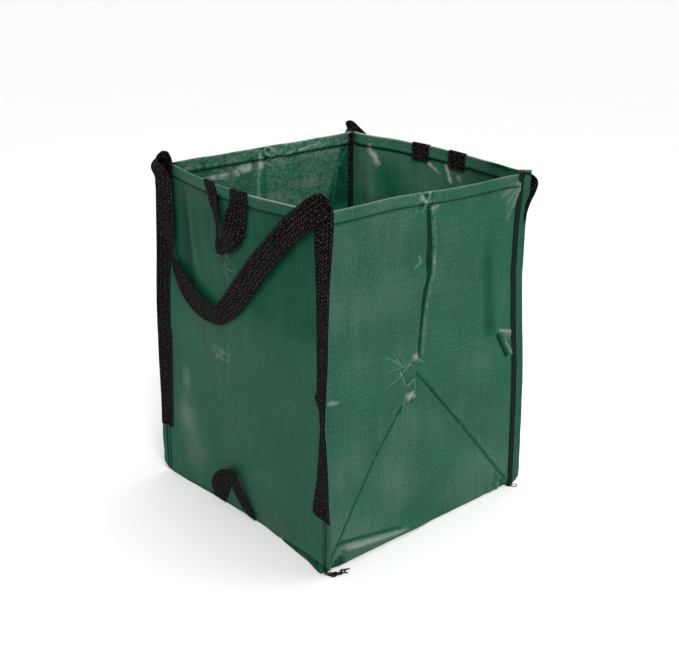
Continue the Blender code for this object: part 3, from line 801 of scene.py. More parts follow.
# Painted highlights inside the left gusset: glossy patches and streaks below its hem, and a pale line along its crease.
LEFT_HIGHLIGHT_SPOTS = ((60, 672, 16, 9, 2.2), (18, 677, 6, 12, 2.2), (80, 664, 8, 6, 2.2), (130, 664, 30, 4, 2.2))
LEFT_HIGHLIGHT_STREAKS = tuple((*ends, 1.1, 2, 0.1) for ends in (
    (-10, 678, -70, 690), (-80, 690, -150, 700), (-234, 684, -199, 635), (-199, 635, -186, 555), (100, 655, 190, 668)))
LEFT_CREASE_HIGHLIGHT = ((25, 672, 26, 560, 0.6, 1.2, 0.1),)


def gusset_tone(y, z, hand):
    """Where the cloth is rubbed pale or gets painted highlights and painted sheen, above 0, and painted shade, below 0.
    """
    seed = SEEDS[hand]
    # Painted highlight along the rim, painted shade along the hem's stitch row and in the creases' valleys, painted
    # highlights on the folds' ridges.
    tone = 0.8 * bell(z - HEIGHT, 1.6 * MM) - 0.7 * bell(z - HEM_ROW, 2.4 * MM) - fold_lines(y, z)[1]
    tone += laid(crease, y, z, GUSSET_HIGHLIGHTS, 1) + laid(hollow, y, z, GUSSET_LIGHT_AND_SHADE_LINES, 1)
    tone += spots(y, z, GUSSET_HIGHLIGHT_SPOTS, 4) + spots(y, z, GUSSET_SOFT_HIGHLIGHT)
    # Painted shade on the groove's floor, and a painted highlight where its right side rises.
    here, beside = groove(y, z), groove(y - 9 * MM, z)
    floor = ease(0.35, 0.65, here / (-8 * MM * np.interp(z, GROOVE_HEIGHTS, GROOVE_DEEP) - 1e-6))
    tone -= 1.15 * floor * ease(0.375, 0.395, z) * (1 - ease(0.681, 0.686, z)) * (1 if hand == "right" else 0.25)
    tone += 0.5 * ease(1.5 * MM, 4 * MM, here - beside) * np.clip(0.4 + ripples(y, z, 0.007, seed + 7), 0, 1)
    # Painted shade in a band near one seam, weaker higher up.
    band = ease(-0.034, -0.004, -np.abs(y - 0.172 - 0.08 * (0.60 - z)))
    tone -= 0.66 * band * ease(0.35, 0.40, z) * (1 - 0.75 * ease(0.50, 0.66, z))
    # Painted shade in the crumpled bottom corners, with painted highlights on their ridges.
    corner = bell(np.hypot(np.abs(y) - 0.232, (z - 0.012) * 1.2), 0.026)
    tone -= corner * (1.4 - 1.8 * crumple(y, z, 0.018, seed + 3))
    # Painted highlights on the crumples where the hem is pinched.
    pinched = bell(y - 0.004, 0.02) * ease(0.665, 0.685, z)
    tone += pinched * 3.2 * np.clip(crumple(y, z, 0.014, seed + 4) - 0.5, -0.35, 1)
    tone += 0.14 * ripples(y, z, 0.09, seed + 8) + 0.08 * ripples(y, z * 0.3, 0.022, seed + 9)
    # The right gusset gets more painted sheen low down at both ends and higher up on its front half.
    if hand == "right":
        tone += 0.14 * (ease(0.02, -0.10, y) * ease(0.32, 0.22, z) + 1.2 * ease(0.05, 0.14, y) * ease(0.20, 0.10, z))
        tone += 0.10 * ease(0.02, -0.10, y) * ease(0.42, 0.52, z)
    else:
        tone += left_tone(y, z, seed)
    return np.clip(tone - 0.02, -1.3, 2)


def left_tone(y, z, seed):
    """What the inside of the left gusset has more: painted highlights below its hem and along its crease, a darker band
    towards the back corner, painted highlights on crumpled cloth, and a lighter overall tone.
    """
    tone = spots(y, z, LEFT_HIGHLIGHT_SPOTS, 4) * np.clip(0.9 + 1.6 * ripples(y, z, 0.010, seed + 5), 0, 1.5)
    tone += laid(hollow, y, z, LEFT_HIGHLIGHT_STREAKS, 1) * np.clip(0.8 + ripples(y, z, 0.012, 3), 0.2, 1.3)
    tone += laid(hollow, y, z, LEFT_CREASE_HIGHLIGHT, 1)
    tone -= 0.9 * ease(0.196, 0.214, -y + 0.35 * (0.66 - z)) * ease(0.48, 0.56, z) * (1 - ease(0.680, 0.69, z))
    # Painted highlights on crumpled cloth near the hem and lower down, and the whole inside made lighter with painted
    # light.
    tone += 0.8 * np.clip(crumple(y, z, 0.010, seed + 2) - 0.45, -0.25, 1) * ease(0.66, 0.685, z)
    tone += 0.10 + 0.22 * ripples(y * 0.3, z, 0.02, seed + 6)
    return tone + ease(0.45, 0.60, z) * 0.6 * np.clip(crumple(y, z * 1.6, 0.015, seed + 7) - 0.5, -0.15, 1)


RIM_SAG = 8.5 * MM


def rim_sag(y, z, hand):
    """The right gusset's rim hangs lower towards the back."""
    return -RIM_SAG * ease(-0.09, 0.09, y) * ease(0.60, 0.69, z) * (hand == "right")


def gusset_cloth(hand):
    """One whole gusset with its hem."""
    rows = hem_rows(OTHER_BASE, PANEL_ROWS)
    grid, column, row = flat_grid(GUSSET_COLUMNS, len(rows))
    z, inwards, length = rows[row].T
    step = np.linspace(-1, 1, GUSSET_COLUMNS)[column]
    share = 0.86 * step + 0.14 * step ** 3
    y = share * (half_side(z) - 0.5 * MM - HEM_INSET * ease(0, 2 * HEM_RADIUS, inwards))
    on_side = (np.abs(step) < 0.98) & (z > OTHER_BASE + 4 * MM) & (inwards == 0)
    snapped = snap(y, z, DIAGONALS + FOLDS, 1.3 * MM)
    y, z = np.where(on_side, snapped[0], y), np.where(on_side, snapped[1], z)
    up = z + rim_ripple(y, z, SEEDS[hand]) + rim_sag(y, z, hand)
    places = np.column_stack([gusset_out(y, z, hand) - inwards, y, up])
    flat = np.column_stack([y, length])
    tone = gusset_tone(y, z, hand)
    return finish_sheet(f"{hand}_gusset_cloth", grid, places, flat, CLOTH_FINISH, CLOTH, tone, hand == "left")


for hand, sign in GUSSETS:
    cloth = gusset_cloth(hand)
    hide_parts(f"{hand}_gusset_front_half", f"{hand}_gusset_back_half")
    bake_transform(cloth)
    print(cloth.name, len(cloth.data.vertices), "corners")

# %% [markdown]
# ## The bottom
# The bottom is a plain square of the same cloth on the floor, with a cross of fold marks. Its edges follow the feet
# of the four sides, so that hardly any floor shows between them. At two corners, where the side's foot is drawn up,
# they stand up behind it. As the back comes to the front a real bottom crumples.

# %% Bottom cloth
BOTTOM_COLUMNS = 111
BOTTOM_EDGE = 0.93
BOTTOM_SEED = 41.0
WALL_SEED = 47.0
RISE_START = RISE_PLACES[0]


def bottom_cloth():
    """The bottom, a little uneven, with the marks of its two folds."""
    grid, column, row = flat_grid(BOTTOM_COLUMNS, BOTTOM_COLUMNS)
    step = np.linspace(-1, 1, BOTTOM_COLUMNS)
    step = 0.75 * step + 0.25 * step ** 5
    u, v = step[column], step[row]
    half = half_side(0)
    foot = np.full_like(u, OTHER_BASE)
    right, left = gusset_out(v * half, foot, "right"), gusset_out(-v * half, foot, "left")
    front, back = panel_out(u * half, foot, "front") - 0.7 * MM, panel_out(-u * half, foot, "back")
    x = u * (half + ease(0.8, 1, np.abs(u)) * (np.where(u > 0, right, left) - half))
    y = v * (half + ease(0.8, 1, np.abs(v)) * (np.where(v > 0, back, front) - half))
    z = CLOTH + 0.35 * MM * (ripples(x, y, 0.06, BOTTOM_SEED) + 1)
    mark = np.exp(-np.abs(x) / (3 * MM)) + np.exp(-np.abs(y) / (3 * MM))
    edge = np.maximum(np.abs(u), np.abs(v))
    z = z + 1.2 * MM * mark * (1 - ease(0.9, 1, edge)) + np.where(v < -np.abs(u), 0.4, 2.6) * MM * ease(0.975, 1, edge)
    tone = 0.4 * mark
    for side in (1, -1):
        out = side * x
        lift = np.interp(out, RISE_PLACES, RISES) + np.where(out > RISE_START, 1.5 * MM, 0)
        wall = np.clip((-side * v - BOTTOM_EDGE) / (1 - BOTTOM_EDGE), 0, 1) * (out > RISE_START)
        proud = 5 * MM * ease(0.20, 0.26, out) * (1 - wall)
        flat_y = np.clip(-side * v / BOTTOM_EDGE, 0, 1) * (np.where(v < 0, front, back) - 0.4 * MM + proud)
        standing = ease(RISE_START, RISE_START + 22 * MM, out) * (-side * v > 0)
        y = y * (1 - standing) + standing * -side * (flat_y - 0.8 * MM * wall)
        z = z * (1 - standing * wall) + standing * wall * (CLOTH + wall * lift)
        # Painted shade on the bottom where it stands up behind a corner's foot, lighter on its folds.
        fold = ripples(x, wall * 20 * MM, 0.012, WALL_SEED)
        tone = tone - standing * ease(0.02, 0.3, wall) * (0.7 - 0.9 * fold)
        y = y - side * standing * np.sin(wall * math.pi) * 1.2 * MM * fold
    flat = np.column_stack([u * half, v * half])
    return finish_sheet("bottom_cloth", grid, np.column_stack([x, y, z]), flat, CLOTH_FINISH, CLOTH, tone)


cloth = bottom_cloth()
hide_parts("bottom_panel")
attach(cloth, "front_side")
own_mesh(cloth)
print(cloth.name, len(cloth.data.vertices), "corners")

# %% [markdown]
# ## Corner fins
# At each corner the edges of the two sides are laid together and sewn, and stand out as a fin two cloths thick. The
# first millimetres roll over the seam as a small ridge, and the free edge waves a little. The fin at the right of the
# front turns forwards in the middle of its height and back again at the rim, and the left one slants all the way up.

# %% Corner fins
FIN_WIDTH = 20 * MM
FIN_THICKNESS = 2.0 * MM
FIN_ROWS = 120
FIN_COLUMNS = 21
FIN_HEIGHTS = (0, 0.10, 0.125, 0.15, 0.20, 0.25, 0.31, 0.36, 0.41, 0.50, 0.58, 0.69, 0.711)
FIN_LEANS = (0, -6, -3, 2, 8, 16, 24, 26, 16, 10, 3, -17, -18)
FIN_SEED = 50.0
FIN_FEET = {1: 20 * MM, -1: 3 * MM}
FIN_RISE = 24 * MM
FIN_EXTRA = {"front": {1: 0, -1: -3.5 * MM}, "back": {1: 0, -1: 2.5 * MM}}


def fin_angle(side, z):
    """How far a fin leans forwards of straight outwards: one corner's fin turns over in the middle of its height."""
    z = np.asarray(z, float)
    if side < 0:
        return np.radians(45 - 8 * ease(0.05, 0, z))
    near = [np.interp(z + step * MM, FIN_HEIGHTS, FIN_LEANS) for step in (-12, -6, 0, 6, 12)]
    return np.radians(np.mean(near, axis=0))


def fin_place(side, z, outwards, forwards):
    """A place on a fin of the front: outwards along it, and forwards from the front cloth. Works on many at once."""
    turn = fin_angle(side, z)
    x = half_side(z) + 0.6 * MM + np.cos(turn) * outwards - np.sin(turn) * forwards
    y = -half_side(z) - np.sin(turn) * outwards - np.cos(turn) * forwards
    return np.column_stack(np.broadcast_arrays(side * x, y, z))


def corner_fin(word, hand, side, seed):
    """The two sewn cloth edges at a corner."""
    grid, column, row = flat_grid(FIN_COLUMNS, FIN_ROWS)
    z = np.linspace(FIN_FEET[side], HEIGHT, FIN_ROWS)[row]
    share = np.linspace(0, 1, FIN_COLUMNS)[column if side > 0 else FIN_COLUMNS - 1 - column]
    width = FIN_WIDTH + FIN_EXTRA[word][side] + 1.2 * MM * ripples(z, 0 * z, 0.05, seed) * share
    outwards = -0.5 * MM + share * width
    ridge = 0.5 * MM * bell(outwards - 2 * MM, 1.5 * MM)
    wave = share ** 2 * 1.6 * MM * ripples(z, 0 * z, 0.045, seed + 1)
    if side < 0:
        z = z + FIN_RISE * share ** 2 * ease(LOW_END, 0, z)
    places = fin_place(side, z, outwards, -0.6 * MM + ridge + wave)
    flat = np.column_stack([side * (half_side(z) + outwards), z])
    rub_and_painted_light = 0.1 * ease(0.93, 1, share) + 0.05 * bell(outwards - 3 * MM, 1.4 * MM)
    rub_and_painted_light -= 1.2 * (bell(outwards - 6.5 * MM, 1.6 * MM) + bell(outwards, 1.2 * MM))
    turned = word == "back"
    return finish_sheet(f"{word}_{hand}_corner_fin", grid, places, flat, CLOTH_FINISH, FIN_THICKNESS, rub_and_painted_light, turned)


def corners():
    """Each corner's word, hand, side on its own front, and a number."""
    for number, (word, side) in enumerate((w, s) for w in ("front", "back") for s in (1, -1)):
        hand = "right" if (side > 0) == (word == "front") else "left"
        yield word, hand, side, number


for word, hand, side, number in corners():
    fin = corner_fin(word, hand, side, FIN_SEED + 3 * number)
    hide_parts(f"{word}_{hand}_corner_seam")
    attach(fin, f"{word}_side")
    print(fin.name)

# %% [markdown]
# ## The webbing's finish
# The handles are polypropylene webbing in herringbone twill: slanting ribs that turn back and forth in columns. The
# pattern is worked out from each strap's own flat measure, so the ribs follow every bend. The ribs' crowns get a
# little brownish painted highlight in specks, and the selvedges are slightly rubbed.

# %% Herringbone webbing
WEBBING_WIDTH = 48 * MM
WEBBING = 2.0 * MM
HERRINGBONE_COLUMN = 8 * MM
RIB = 4.4 * MM
RIB_ACROSS = 0.80
RIB_ALONG = 0.60
WEBBING_DARK = (0.0008, 0.0005, 0.0007)
# The next colour is a painted highlight on the ribs' crowns.
WEBBING_PAINTED_SHINE = (0.092, 0.076, 0.082)


def herringbone():
    """Black twill with slanting ribs in columns, whose crowns get a painted highlight."""
    material, tree, shader = new_finish("black_webbing", Specular_IOR_Level=0.035)
    flat = add_node(tree, "ShaderNodeUVMap", uv_map="flat").outputs[0]
    split = add_node(tree, "ShaderNodeSeparateXYZ", {0: flat})
    across, along = split.outputs[0], split.outputs[1]
    slant = times(calc("PINGPONG", across, HERRINGBONE_COLUMN), RIB_ACROSS / RIB)
    rib = humps(calc("MULTIPLY_ADD", along, RIB_ALONG / RIB, slant))
    column = humps(calc("DIVIDE", across, HERRINGBONE_COLUMN))
    yarn = times(calc("POWER", rib, 0.8), fade(column, 0.0, 0.5, 0.45, 1.0))
    speck = noise_of(flat, 230, 3)
    # Painted highlight: the crowns of the ribs are coloured lighter, in specks.
    painted_shine = times(calc("POWER", yarn, 8.0), fade(speck, 0.42, 0.64, 0.0, 1.0))
    edge = fade(calc("ABSOLUTE", across), 21 * MM, 24 * MM, 0, 0.05)
    colour = blend_colour(calc("MAXIMUM", painted_shine, edge), WEBBING_DARK, WEBBING_PAINTED_SHINE)
    tree.links.new(colour, shader.inputs["Base Color"])
    tree.links.new(fade(speck, 0.3, 0.7, 0.62, 0.85), shader.inputs["Roughness"])
    set_bump(shader, yarn, 1.0 * MM, 0.9)
    return material


WEBBING_FINISH = herringbone()


def webbing_strip(name, places, columns, across, lengths, turned=False, thickness=WEBBING):
    """A strap from a grid of places, one row of them per length, with rounded edges."""
    grid, column, row = flat_grid(columns, len(lengths))
    flat = np.column_stack([np.asarray(across)[column], np.asarray(lengths)[row]])
    piece = finish_sheet(name, grid, np.asarray(places)[row, column], flat, WEBBING_FINISH, thickness, None, turned)
    round_off = piece.modifiers.new("Rounding", "SUBSURF")
    round_off.levels = round_off.render_levels = 1
    return piece


print("webbing ribs every", RIB / MM, "mm in columns of", HERRINGBONE_COLUMN / MM, "mm")

# %% [markdown]
# ## Webbing up the corners
# Each end of a long handle is sewn up a corner, half on the side and half on the fin. It lies flat near the rim, is
# gathered where the fin bends in the middle, and flares again to a slanting cut end. On the back it ends lower. A
# strap that isn't flat could be draped, but its section here is simple: a row of places across it, moved up the
# corner.

# %% Corner webbing
STRAP_END = 120 * MM
STRAP_TOP = {"front": {1: 736 * MM, -1: 736 * MM}, "back": {1: 722 * MM, -1: 706 * MM}}
STRAP_SEED = 70.0
STRAP_DOME = 24 * MM
STRAP_CUT = 40 * MM
STRAP_SLANT = 6 * MM
STRAP_BULK = 3.5 * MM
STRAP_WANDER = 1.0 * MM
STRAP_OUT = 1.9 * MM
STRAP_ROWS = 170
STRAP_COLUMNS = 13
STRAP_SHAPES = {
    1: ((0.12, 0.14, 0.195, 0.253, 0.31, 0.346, 0.358, 0.368, 0.380, 0.42, 0.56, 0.66, 0.75),
        (29, 29, 17, 11, 5, 9, 17, 22, 15, 14, 15, 20, 24), (20, 20, 18, 18, 18, 17, 16, 16, 17, 20, 22, 24, 24)),
    -1: ((0.12, 0.20, 0.34, 0.36, 0.48, 0.52, 0.60, 0.75), (14, 16, 19, 15, 15, 19, 23, 24),
         (17.5, 18, 19.5, 20, 20, 20, 21, 24))}


def strap_reach(side, place, z):
    """Where a place across the strap lies. It is gathered in the middle at one corner, and less at the other."""
    heights, on_side, on_fin = STRAP_SHAPES[side]
    reach = np.where(place < 0, np.interp(z, heights, on_side), np.interp(z, heights, on_fin)) * MM
    return place * reach / (WEBBING_WIDTH / 2)


def corner_strap(word, hand, side, seed):
    """The sewn end of a long handle."""
    across = np.linspace(-WEBBING_WIDTH / 2, WEBBING_WIDTH / 2, STRAP_COLUMNS)
    top = STRAP_TOP[word][side]
    heights = np.linspace(STRAP_END, top, STRAP_ROWS)
    wander = STRAP_WANDER * ripples(heights, 0 * heights, 0.11, seed)
    rows = []
    for z0, shift in zip(heights, wander):
        cut = max(0.0, 1 - (z0 - STRAP_END) / STRAP_CUT)
        z = z0 - side * cut * (across / WEBBING_WIDTH) * STRAP_SLANT
        rise = max(z0 - top + STRAP_DOME, 0) / STRAP_DOME
        place = strap_reach(side, across, z) * math.sqrt(max(1 - rise * rise, 0.09)) + shift
        slack = 1 - np.ptp(place) / WEBBING_WIDTH
        bulk = STRAP_OUT + max(slack, 0) * STRAP_BULK * np.cos(across / WEBBING_WIDTH * math.pi)
        x = half_side(z) + place
        on_side = np.column_stack([side * x, -half_side(z) - bow(x, z) - bulk, z])
        on_fin = fin_place(side, z, place, bulk)
        rows.append(np.where((place > 0)[:, None], on_fin, on_side))
    rows = np.array(rows)
    if side < 0:
        rows = rows[:, ::-1]
    return webbing_strip(f"{word}_{hand}_corner_strap", rows, STRAP_COLUMNS, across, heights, word == "back")


for word, hand, side, number in corners():
    strap = corner_strap(word, hand, side, STRAP_SEED + number)
    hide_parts(f"{word}_{hand}_corner_webbing")
    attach(strap, f"{word}_side")
    print(strap.name)

# %% [markdown]
# ## Free loops of webbing
# A free loop is a ribbon along a path. Each row of the path has a place on the side, a distance from the cloth, half
# a width and a twist. The rows are smoothed together into one curve, so the ribbon bends, narrows and turns over
# without corners.

# %% Ribbons
RIBBON_STEPS = 6
RIBBON_COLUMNS = 11
RIBBON_WOBBLE = 0.4 * MM


def ribbon(name, rows, turned, seed):
    """A strap along rows of (x, distance out, z, half width, twist in degrees), all on the front of the bag."""
    line = smooth_line(rows, RIBBON_STEPS)
    middles = np.array([front_spot(x, z, out) for x, out, z, _, _ in line])
    ways = np.gradient(middles, axis=0)
    shares = np.linspace(-1, 1, RIBBON_COLUMNS)
    places, lengths, length = [], [], 0.0
    level = Vector(ways[0]).cross(Vector((0, -1, 0)))
    for index, (middle, way, (_, _, _, half, twist)) in enumerate(zip(middles, ways, line)):
        way = Vector(way).normalized()
        level = (level - way * level.dot(way)).normalized()
        across = Matrix.Rotation(math.radians(twist), 3, way) @ level
        facing = across.cross(way)
        if index:
            length += float(np.linalg.norm(middle - middles[index - 1]))
        lengths.append(length)
        shake = RIBBON_WOBBLE * noise.noise(Vector((length / 0.02, seed, 0)))
        places.append([Vector(middle) + across * (share * half) + facing * (shake * share) for share in shares])
    return webbing_strip(name, places, RIBBON_COLUMNS, shares * WEBBING_WIDTH / 2, lengths, turned)


# %% [markdown]
# ## Long handles
# The picture's handle leaves the top of both corners. From the near corner it hangs slanting to a soft V, climbs to
# the far corner's webbing, is pinched there, and follows that webbing up to its top. On the back both ends hang
# lower.

# %% Long handles
HANDLE_SEED = 5.0
HANDLE_NEAR_END = {
    "front": ((266, 4.2, 729, 8, 0), (263, 4.6, 730, 16, 0), (257, 6.0, 728, 22, 0), (246, 8.5, 722, 24, 2),
              (230, 12, 711, 24.5, 6), (204, 13, 690, 25, 10)),
    "back": ((273, 4.2, 715, 9, 0), (269, 4.6, 717, 15, 0), (262, 6.0, 715, 18, 0), (250, 8.5, 706, 19, 2),
             (232, 12, 692, 22, 6), (204, 13, 674, 24, 10))}
HANDLE_MIDDLE = (
    (172, 13, 662, 25, 12), (136, 13, 624, 25.5, 12), (104, 13, 592, 26, 12), (72, 12, 557, 26, 10),
    (40, 11, 522, 26, 8), (8, 10, 488, 25, 6), (-22, 10, 462, 22, 5), (-42, 11, 448, 20, 5),
    (-60, 11, 443, 20, 7), (-82, 11, 444, 22.5, 10), (-112, 11, 450, 25, 13), (-142, 11, 462, 26, 14),
    (-172, 10, 479, 25, 12), (-199, 9, 501, 18, 8), (-216, 8, 522, 9, 8), (-224, 9, 545, 12, 14))
HANDLE_FAR_END = {
    "front": ((-229, 10, 575, 20, 24), (-235, 12, 620, 23, 32), (-239, 13, 670, 23, 34), (-246, 15, 692, 22, 28),
              (-256, 22, 708, 22, 16), (-258, 16, 720, 22, 6), (-252, 6, 724, 22, 0), (-248, 2.6, 719, 21, 0)),
    "back": ((-239, 11, 575, 19, 24), (-245, 10, 622, 22, 26), (-250, 12, 652, 23, 24), (-256, 22, 678, 23, 14),
             (-257, 25, 692, 20, 4), (-255, 18, 702, 15, 0), (-251, 8, 706, 12, 0), (-248, 2.6, 703, 11, 0))}


def in_metres(rows):
    """Rows of a ribbon from millimetres to metres, the twist left as it is."""
    return [tuple(value * MM for value in row[:4]) + (row[4],) for row in rows]


for word, sign in SIDES:
    rows = in_metres(HANDLE_NEAR_END[word] + HANDLE_MIDDLE + HANDLE_FAR_END[word])
    handle = ribbon(f"{word}_handle_loop", rows, word == "back", HANDLE_SEED)
    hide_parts(f"{word}_long_handle")
    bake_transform(handle)
    print(handle.name)

# %% [markdown]
# ## Rim loops
# A short loop hangs from the hem of the front. Its right end is broad and turned towards the right, and at its tip it
# folds sharply into a left limb seen nearly on edge. Its two ends are folded over the hem and sewn down.

# %% Rim loops
RIM_LOOP_SEED = 9.0
RIM_LOOP_ROWS = (
    (36, 4.2, 688, 26, 0), (36, 6, 676, 26, -8), (34.5, 9, 660, 26, -18), (30, 11, 643, 26, -20),
    (22, 12, 628, 26, -18), (8, 11.5, 613, 24, -6), (-8, 10, 601, 18, 4), (-21, 9.5, 591, 13, 4),
    (-31, 9, 589, 9, 0), (-32, 8.5, 602, 8, -10), (-29.5, 8, 617, 9.5, -16), (-30, 7.5, 637, 12, -14),
    (-34.5, 6.5, 660, 15.5, -8), (-42, 5, 678, 18, -2), (-46, 4.2, 688, 19, 0))

for word, sign in SIDES:
    loop = ribbon(f"{word}_rim_handle", in_metres(RIM_LOOP_ROWS), word == "back", RIM_LOOP_SEED)
    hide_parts(f"{word}_rim_loop")
    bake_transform(loop)
    print(loop.name)

# %% [markdown]
# The tabs are the loop's ends. Each is one strip that starts on the outside, bends over the rim and ends inside.

# %% Rim tabs
TAB_OUTSIDE = 27 * MM
TAB_INSIDE = 34 * MM
TAB_COLUMNS = 9
TABS = {"front": {1: (36, 37, 54), -1: (-46, -61, 42)}, "back": {1: (38, 44, 52), -1: (-46, -66, 54)}}


def tab_middle(word, side, z):
    """The middle of a tab, which slants from its foot to the rim."""
    foot, rim, _ = TABS[word][side]
    return np.interp(z, [HEIGHT - TAB_OUTSIDE, HEIGHT], [foot * MM, rim * MM])


def rim_tab(word, hand, side):
    """One sewn end of a rim loop, over the hem."""
    width = TABS[word][side][2] * MM
    across = np.linspace(-width / 2, width / 2, TAB_COLUMNS)
    radius = HEM_RADIUS + STRAP_OUT
    outside = [(z, -STRAP_OUT) for z in np.linspace(HEIGHT - TAB_OUTSIDE - 2 * MM, TURN_START, 9)]
    over = [(TURN_START + radius * math.sin(a), HEM_RADIUS - radius * math.cos(a))
            for a in np.linspace(0, math.pi, 9)[1:]]
    inside = [(z, HEM_RADIUS + radius) for z in np.linspace(TURN_START, HEIGHT - TAB_INSIDE, 10)[1:]]
    rows, lengths, length = [], [], 0.0
    previous = outside[0]
    for z, inwards in outside + over + inside:
        length += math.hypot(z - previous[0], inwards - previous[1])
        previous = (z, inwards)
        lengths.append(length)
        narrow = 1 - 0.03 * ease(0, radius, inwards + radius)
        middle = tab_middle(word, side, z if inwards < 0 else HEIGHT)
        above = Vector((0, 0, max(z - HEIGHT, 0)))
        rows.append([front_spot(middle + a * narrow, min(z, HEIGHT), -inwards) + above for a in across])
    return webbing_strip(f"{word}_{hand}_rim_end", rows, TAB_COLUMNS, across, lengths, word == "back")


for word, hand, side, _ in corners():
    tab = rim_tab(word, hand, side)
    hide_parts(f"{word}_{hand}_rim_tab")
    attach(tab, f"{word}_side")
print("four rim ends")

# %% [markdown]
# ## Base loops
# A third short handle is sewn into the bottom seam of the front and stands up against the cloth. Its webbing is
# folded at the top into a point, where a few yarns have frayed.

# %% Base loops
BASE_LOOP_ROWS = (
    (15.5, 1.9, 3.5, 12.5, 0), (15, 2.6, 9, 13, 1), (10.5, 4.5, 19, 14.5, 4), (3.5, 7, 33, 16, 6), (-4, 9, 50, 17, 8),
    (-10, 12, 70, 17, 8), (-16, 13, 88, 15, 6), (-23, 14, 100, 12, 0), (-34, 14, 97, 12.5, -8), (-48, 13, 84, 19, -14),
    (-61, 12, 69, 22, -18), (-73, 10, 51, 23.5, -18), (-83, 7, 32, 23, -12), (-88.5, 4, 18, 21, -6),
    (-90.5, 2.6, 9, 19.5, -2), (-91, 1.9, 4, 19, 0))
BASE_LOOP_SEED = 13.0
WISP = 0.5 * MM
WISPS = (((-21, 12, 112), (-24, 14, 118), (-29, 13, 123)), ((-18, 12, 112), (-17, 14, 119), (-12, 14, 125)),
         ((-15, 12, 111), (-10, 14, 114), (-4, 13, 115)), ((-25, 12, 111), (-31, 13, 113), (-37, 13, 117)),
         ((-12, 12, 108), (-6, 13, 109), (0, 13, 107)), ((-20, 13, 112), (-20, 16, 117), (-22, 17, 122)))

for word, sign in SIDES:
    loop = ribbon(f"{word}_base_handle", in_metres(BASE_LOOP_ROWS), word == "back", BASE_LOOP_SEED)
    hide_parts(f"{word}_base_loop")
    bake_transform(loop)
    routes = [smooth_line([front_spot(x * MM, z * MM, out * MM) for x, out, z in wisp], 4) for wisp in WISPS]
    wisps = thread_lines(f"{word}_base_wisps", routes, WISP)
    if word == "back":
        wisps.data.transform(Matrix.Diagonal((*HALF_TURN, 1)))
    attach(wisps, f"{word}_base_webbing")
    print(loop.name)

# %% [markdown]
# ## Stitches
# A row of stitches is a row of small grains of thread, each pulled tight into the cloth. Hundreds of them are alike,
# so each is a sphere of only 24 faces, stretched along the row. The hem's row rides over the tabs. Each fin has two
# rows up its inner face with short slanting stitches between them, and two on its outer face below the webbing.

# %% Stitch rows
STITCH_LENGTH = 5.4 * MM
STITCH_GAP = 1.0 * MM
STITCH = 2.6 * MM
HEM_PROUD = 0.7 * MM
TAB_PROUD = 2.3 * MM
HEM_POINTS = 240
HALF_HEM_POINTS = 140


def stitch_grain():
    """One stitch: a small sphere of 24 faces, a metre across."""
    made = bmesh.new()
    bmesh.ops.create_uvsphere(made, u_segments=6, v_segments=4, radius=0.5)
    return to_mesh("stitch_grain", made)


GRAIN = stitch_grain()


def stitch_row(name, lines, width=STITCH, length=STITCH_LENGTH, gap=STITCH_GAP, turned=False):
    """Grains of thread along lines of points."""
    made = bmesh.new()
    for points in lines:
        points = spread_corner(np.asarray(points, float) * (HALF_TURN if turned else NO_TURN))
        steps = np.r_[0, np.cumsum(np.linalg.norm(np.diff(points, axis=0), axis=1))]
        count = max(1, int(steps[-1] / (length + gap)))
        for index in range(count):
            middle = (index + 0.5) * steps[-1] / count
            start, end = (Vector([np.interp(middle + half, steps, points[:, axis]) for axis in range(3)])
                          for half in (-length / 2, length / 2))
            way = end - start
            if way.length < 1e-6:
                continue
            turn = way.to_track_quat("Z", "Y").to_matrix().to_4x4()
            matrix = Matrix.Translation((start + end) / 2) @ turn @ Matrix.Diagonal((width, width, length, 1))
            GRAIN.transform(matrix)
            made.from_mesh(GRAIN)
            GRAIN.transform(matrix.inverted())
    mesh = to_mesh(name, made)
    mesh.shade_smooth()
    piece = link_piece(name, mesh, THREAD_FINISH)
    return piece


def hem_line(word):
    """The hem row of the front or back, over its tabs."""
    reach = half_side(HEM_ROW) - WEBBING_WIDTH / 2 - 1 * MM
    x = np.linspace(-reach, reach, HEM_POINTS)
    on_tab = sum(ease(-width * MM / 2 - 2 * MM, -width * MM / 2 + MM, -np.abs(x - tab_middle(word, side, HEM_ROW)))
                 for side, (_, _, width) in TABS[word].items())
    z = np.full_like(x, HEM_ROW)
    y = -half_side(z) - bow(x, z) - panel_relief(x, z, word) * (1 - on_tab) - HEM_PROUD
    return np.column_stack([x, y - on_tab * TAB_PROUD, z])


for word, _ in SIDES:
    row = stitch_row(f"{word}_hem_stitches", [hem_line(word)], turned=word == "back")
    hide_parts(f"{word}_hem_thread")
    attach(row, f"{word}_side")

for hand, sign in GUSSETS:
    for word, front in (("front", sign), ("back", -sign)):
        y = -front * np.linspace(2 * MM, half_side(HEM_ROW) - 3 * MM, HALF_HEM_POINTS)
        z = np.full_like(y, HEM_ROW)
        line = np.column_stack([gusset_out(y, z, hand) + HEM_PROUD, y, z + rim_sag(y, z, hand)])
        row = stitch_row(f"{hand}_gusset_{word}_hem_stitches", [line], turned=sign < 0)
        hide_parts(f"{hand}_gusset_{word}_hem_thread")
        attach(row, f"{hand}_gusset_{word}")
print("hem stitches on all four sides")

# %% Corner stitches
BINDING_PITCH = 3.4 * MM
BINDING_SLANT = 4 * MM
ROW_POINTS = 200
SEAM_PLACES = (1.0 * MM, 8.0 * MM)
LOW_SEAM_PLACES = (0.2 * MM, 5.5 * MM)
BINDING = {"width": 2.3 * MM, "length": 8.5 * MM, "gap": 0.2 * MM}
INNER_FACE = -2.0 * MM
OUTER_FACE = 0.6 * MM


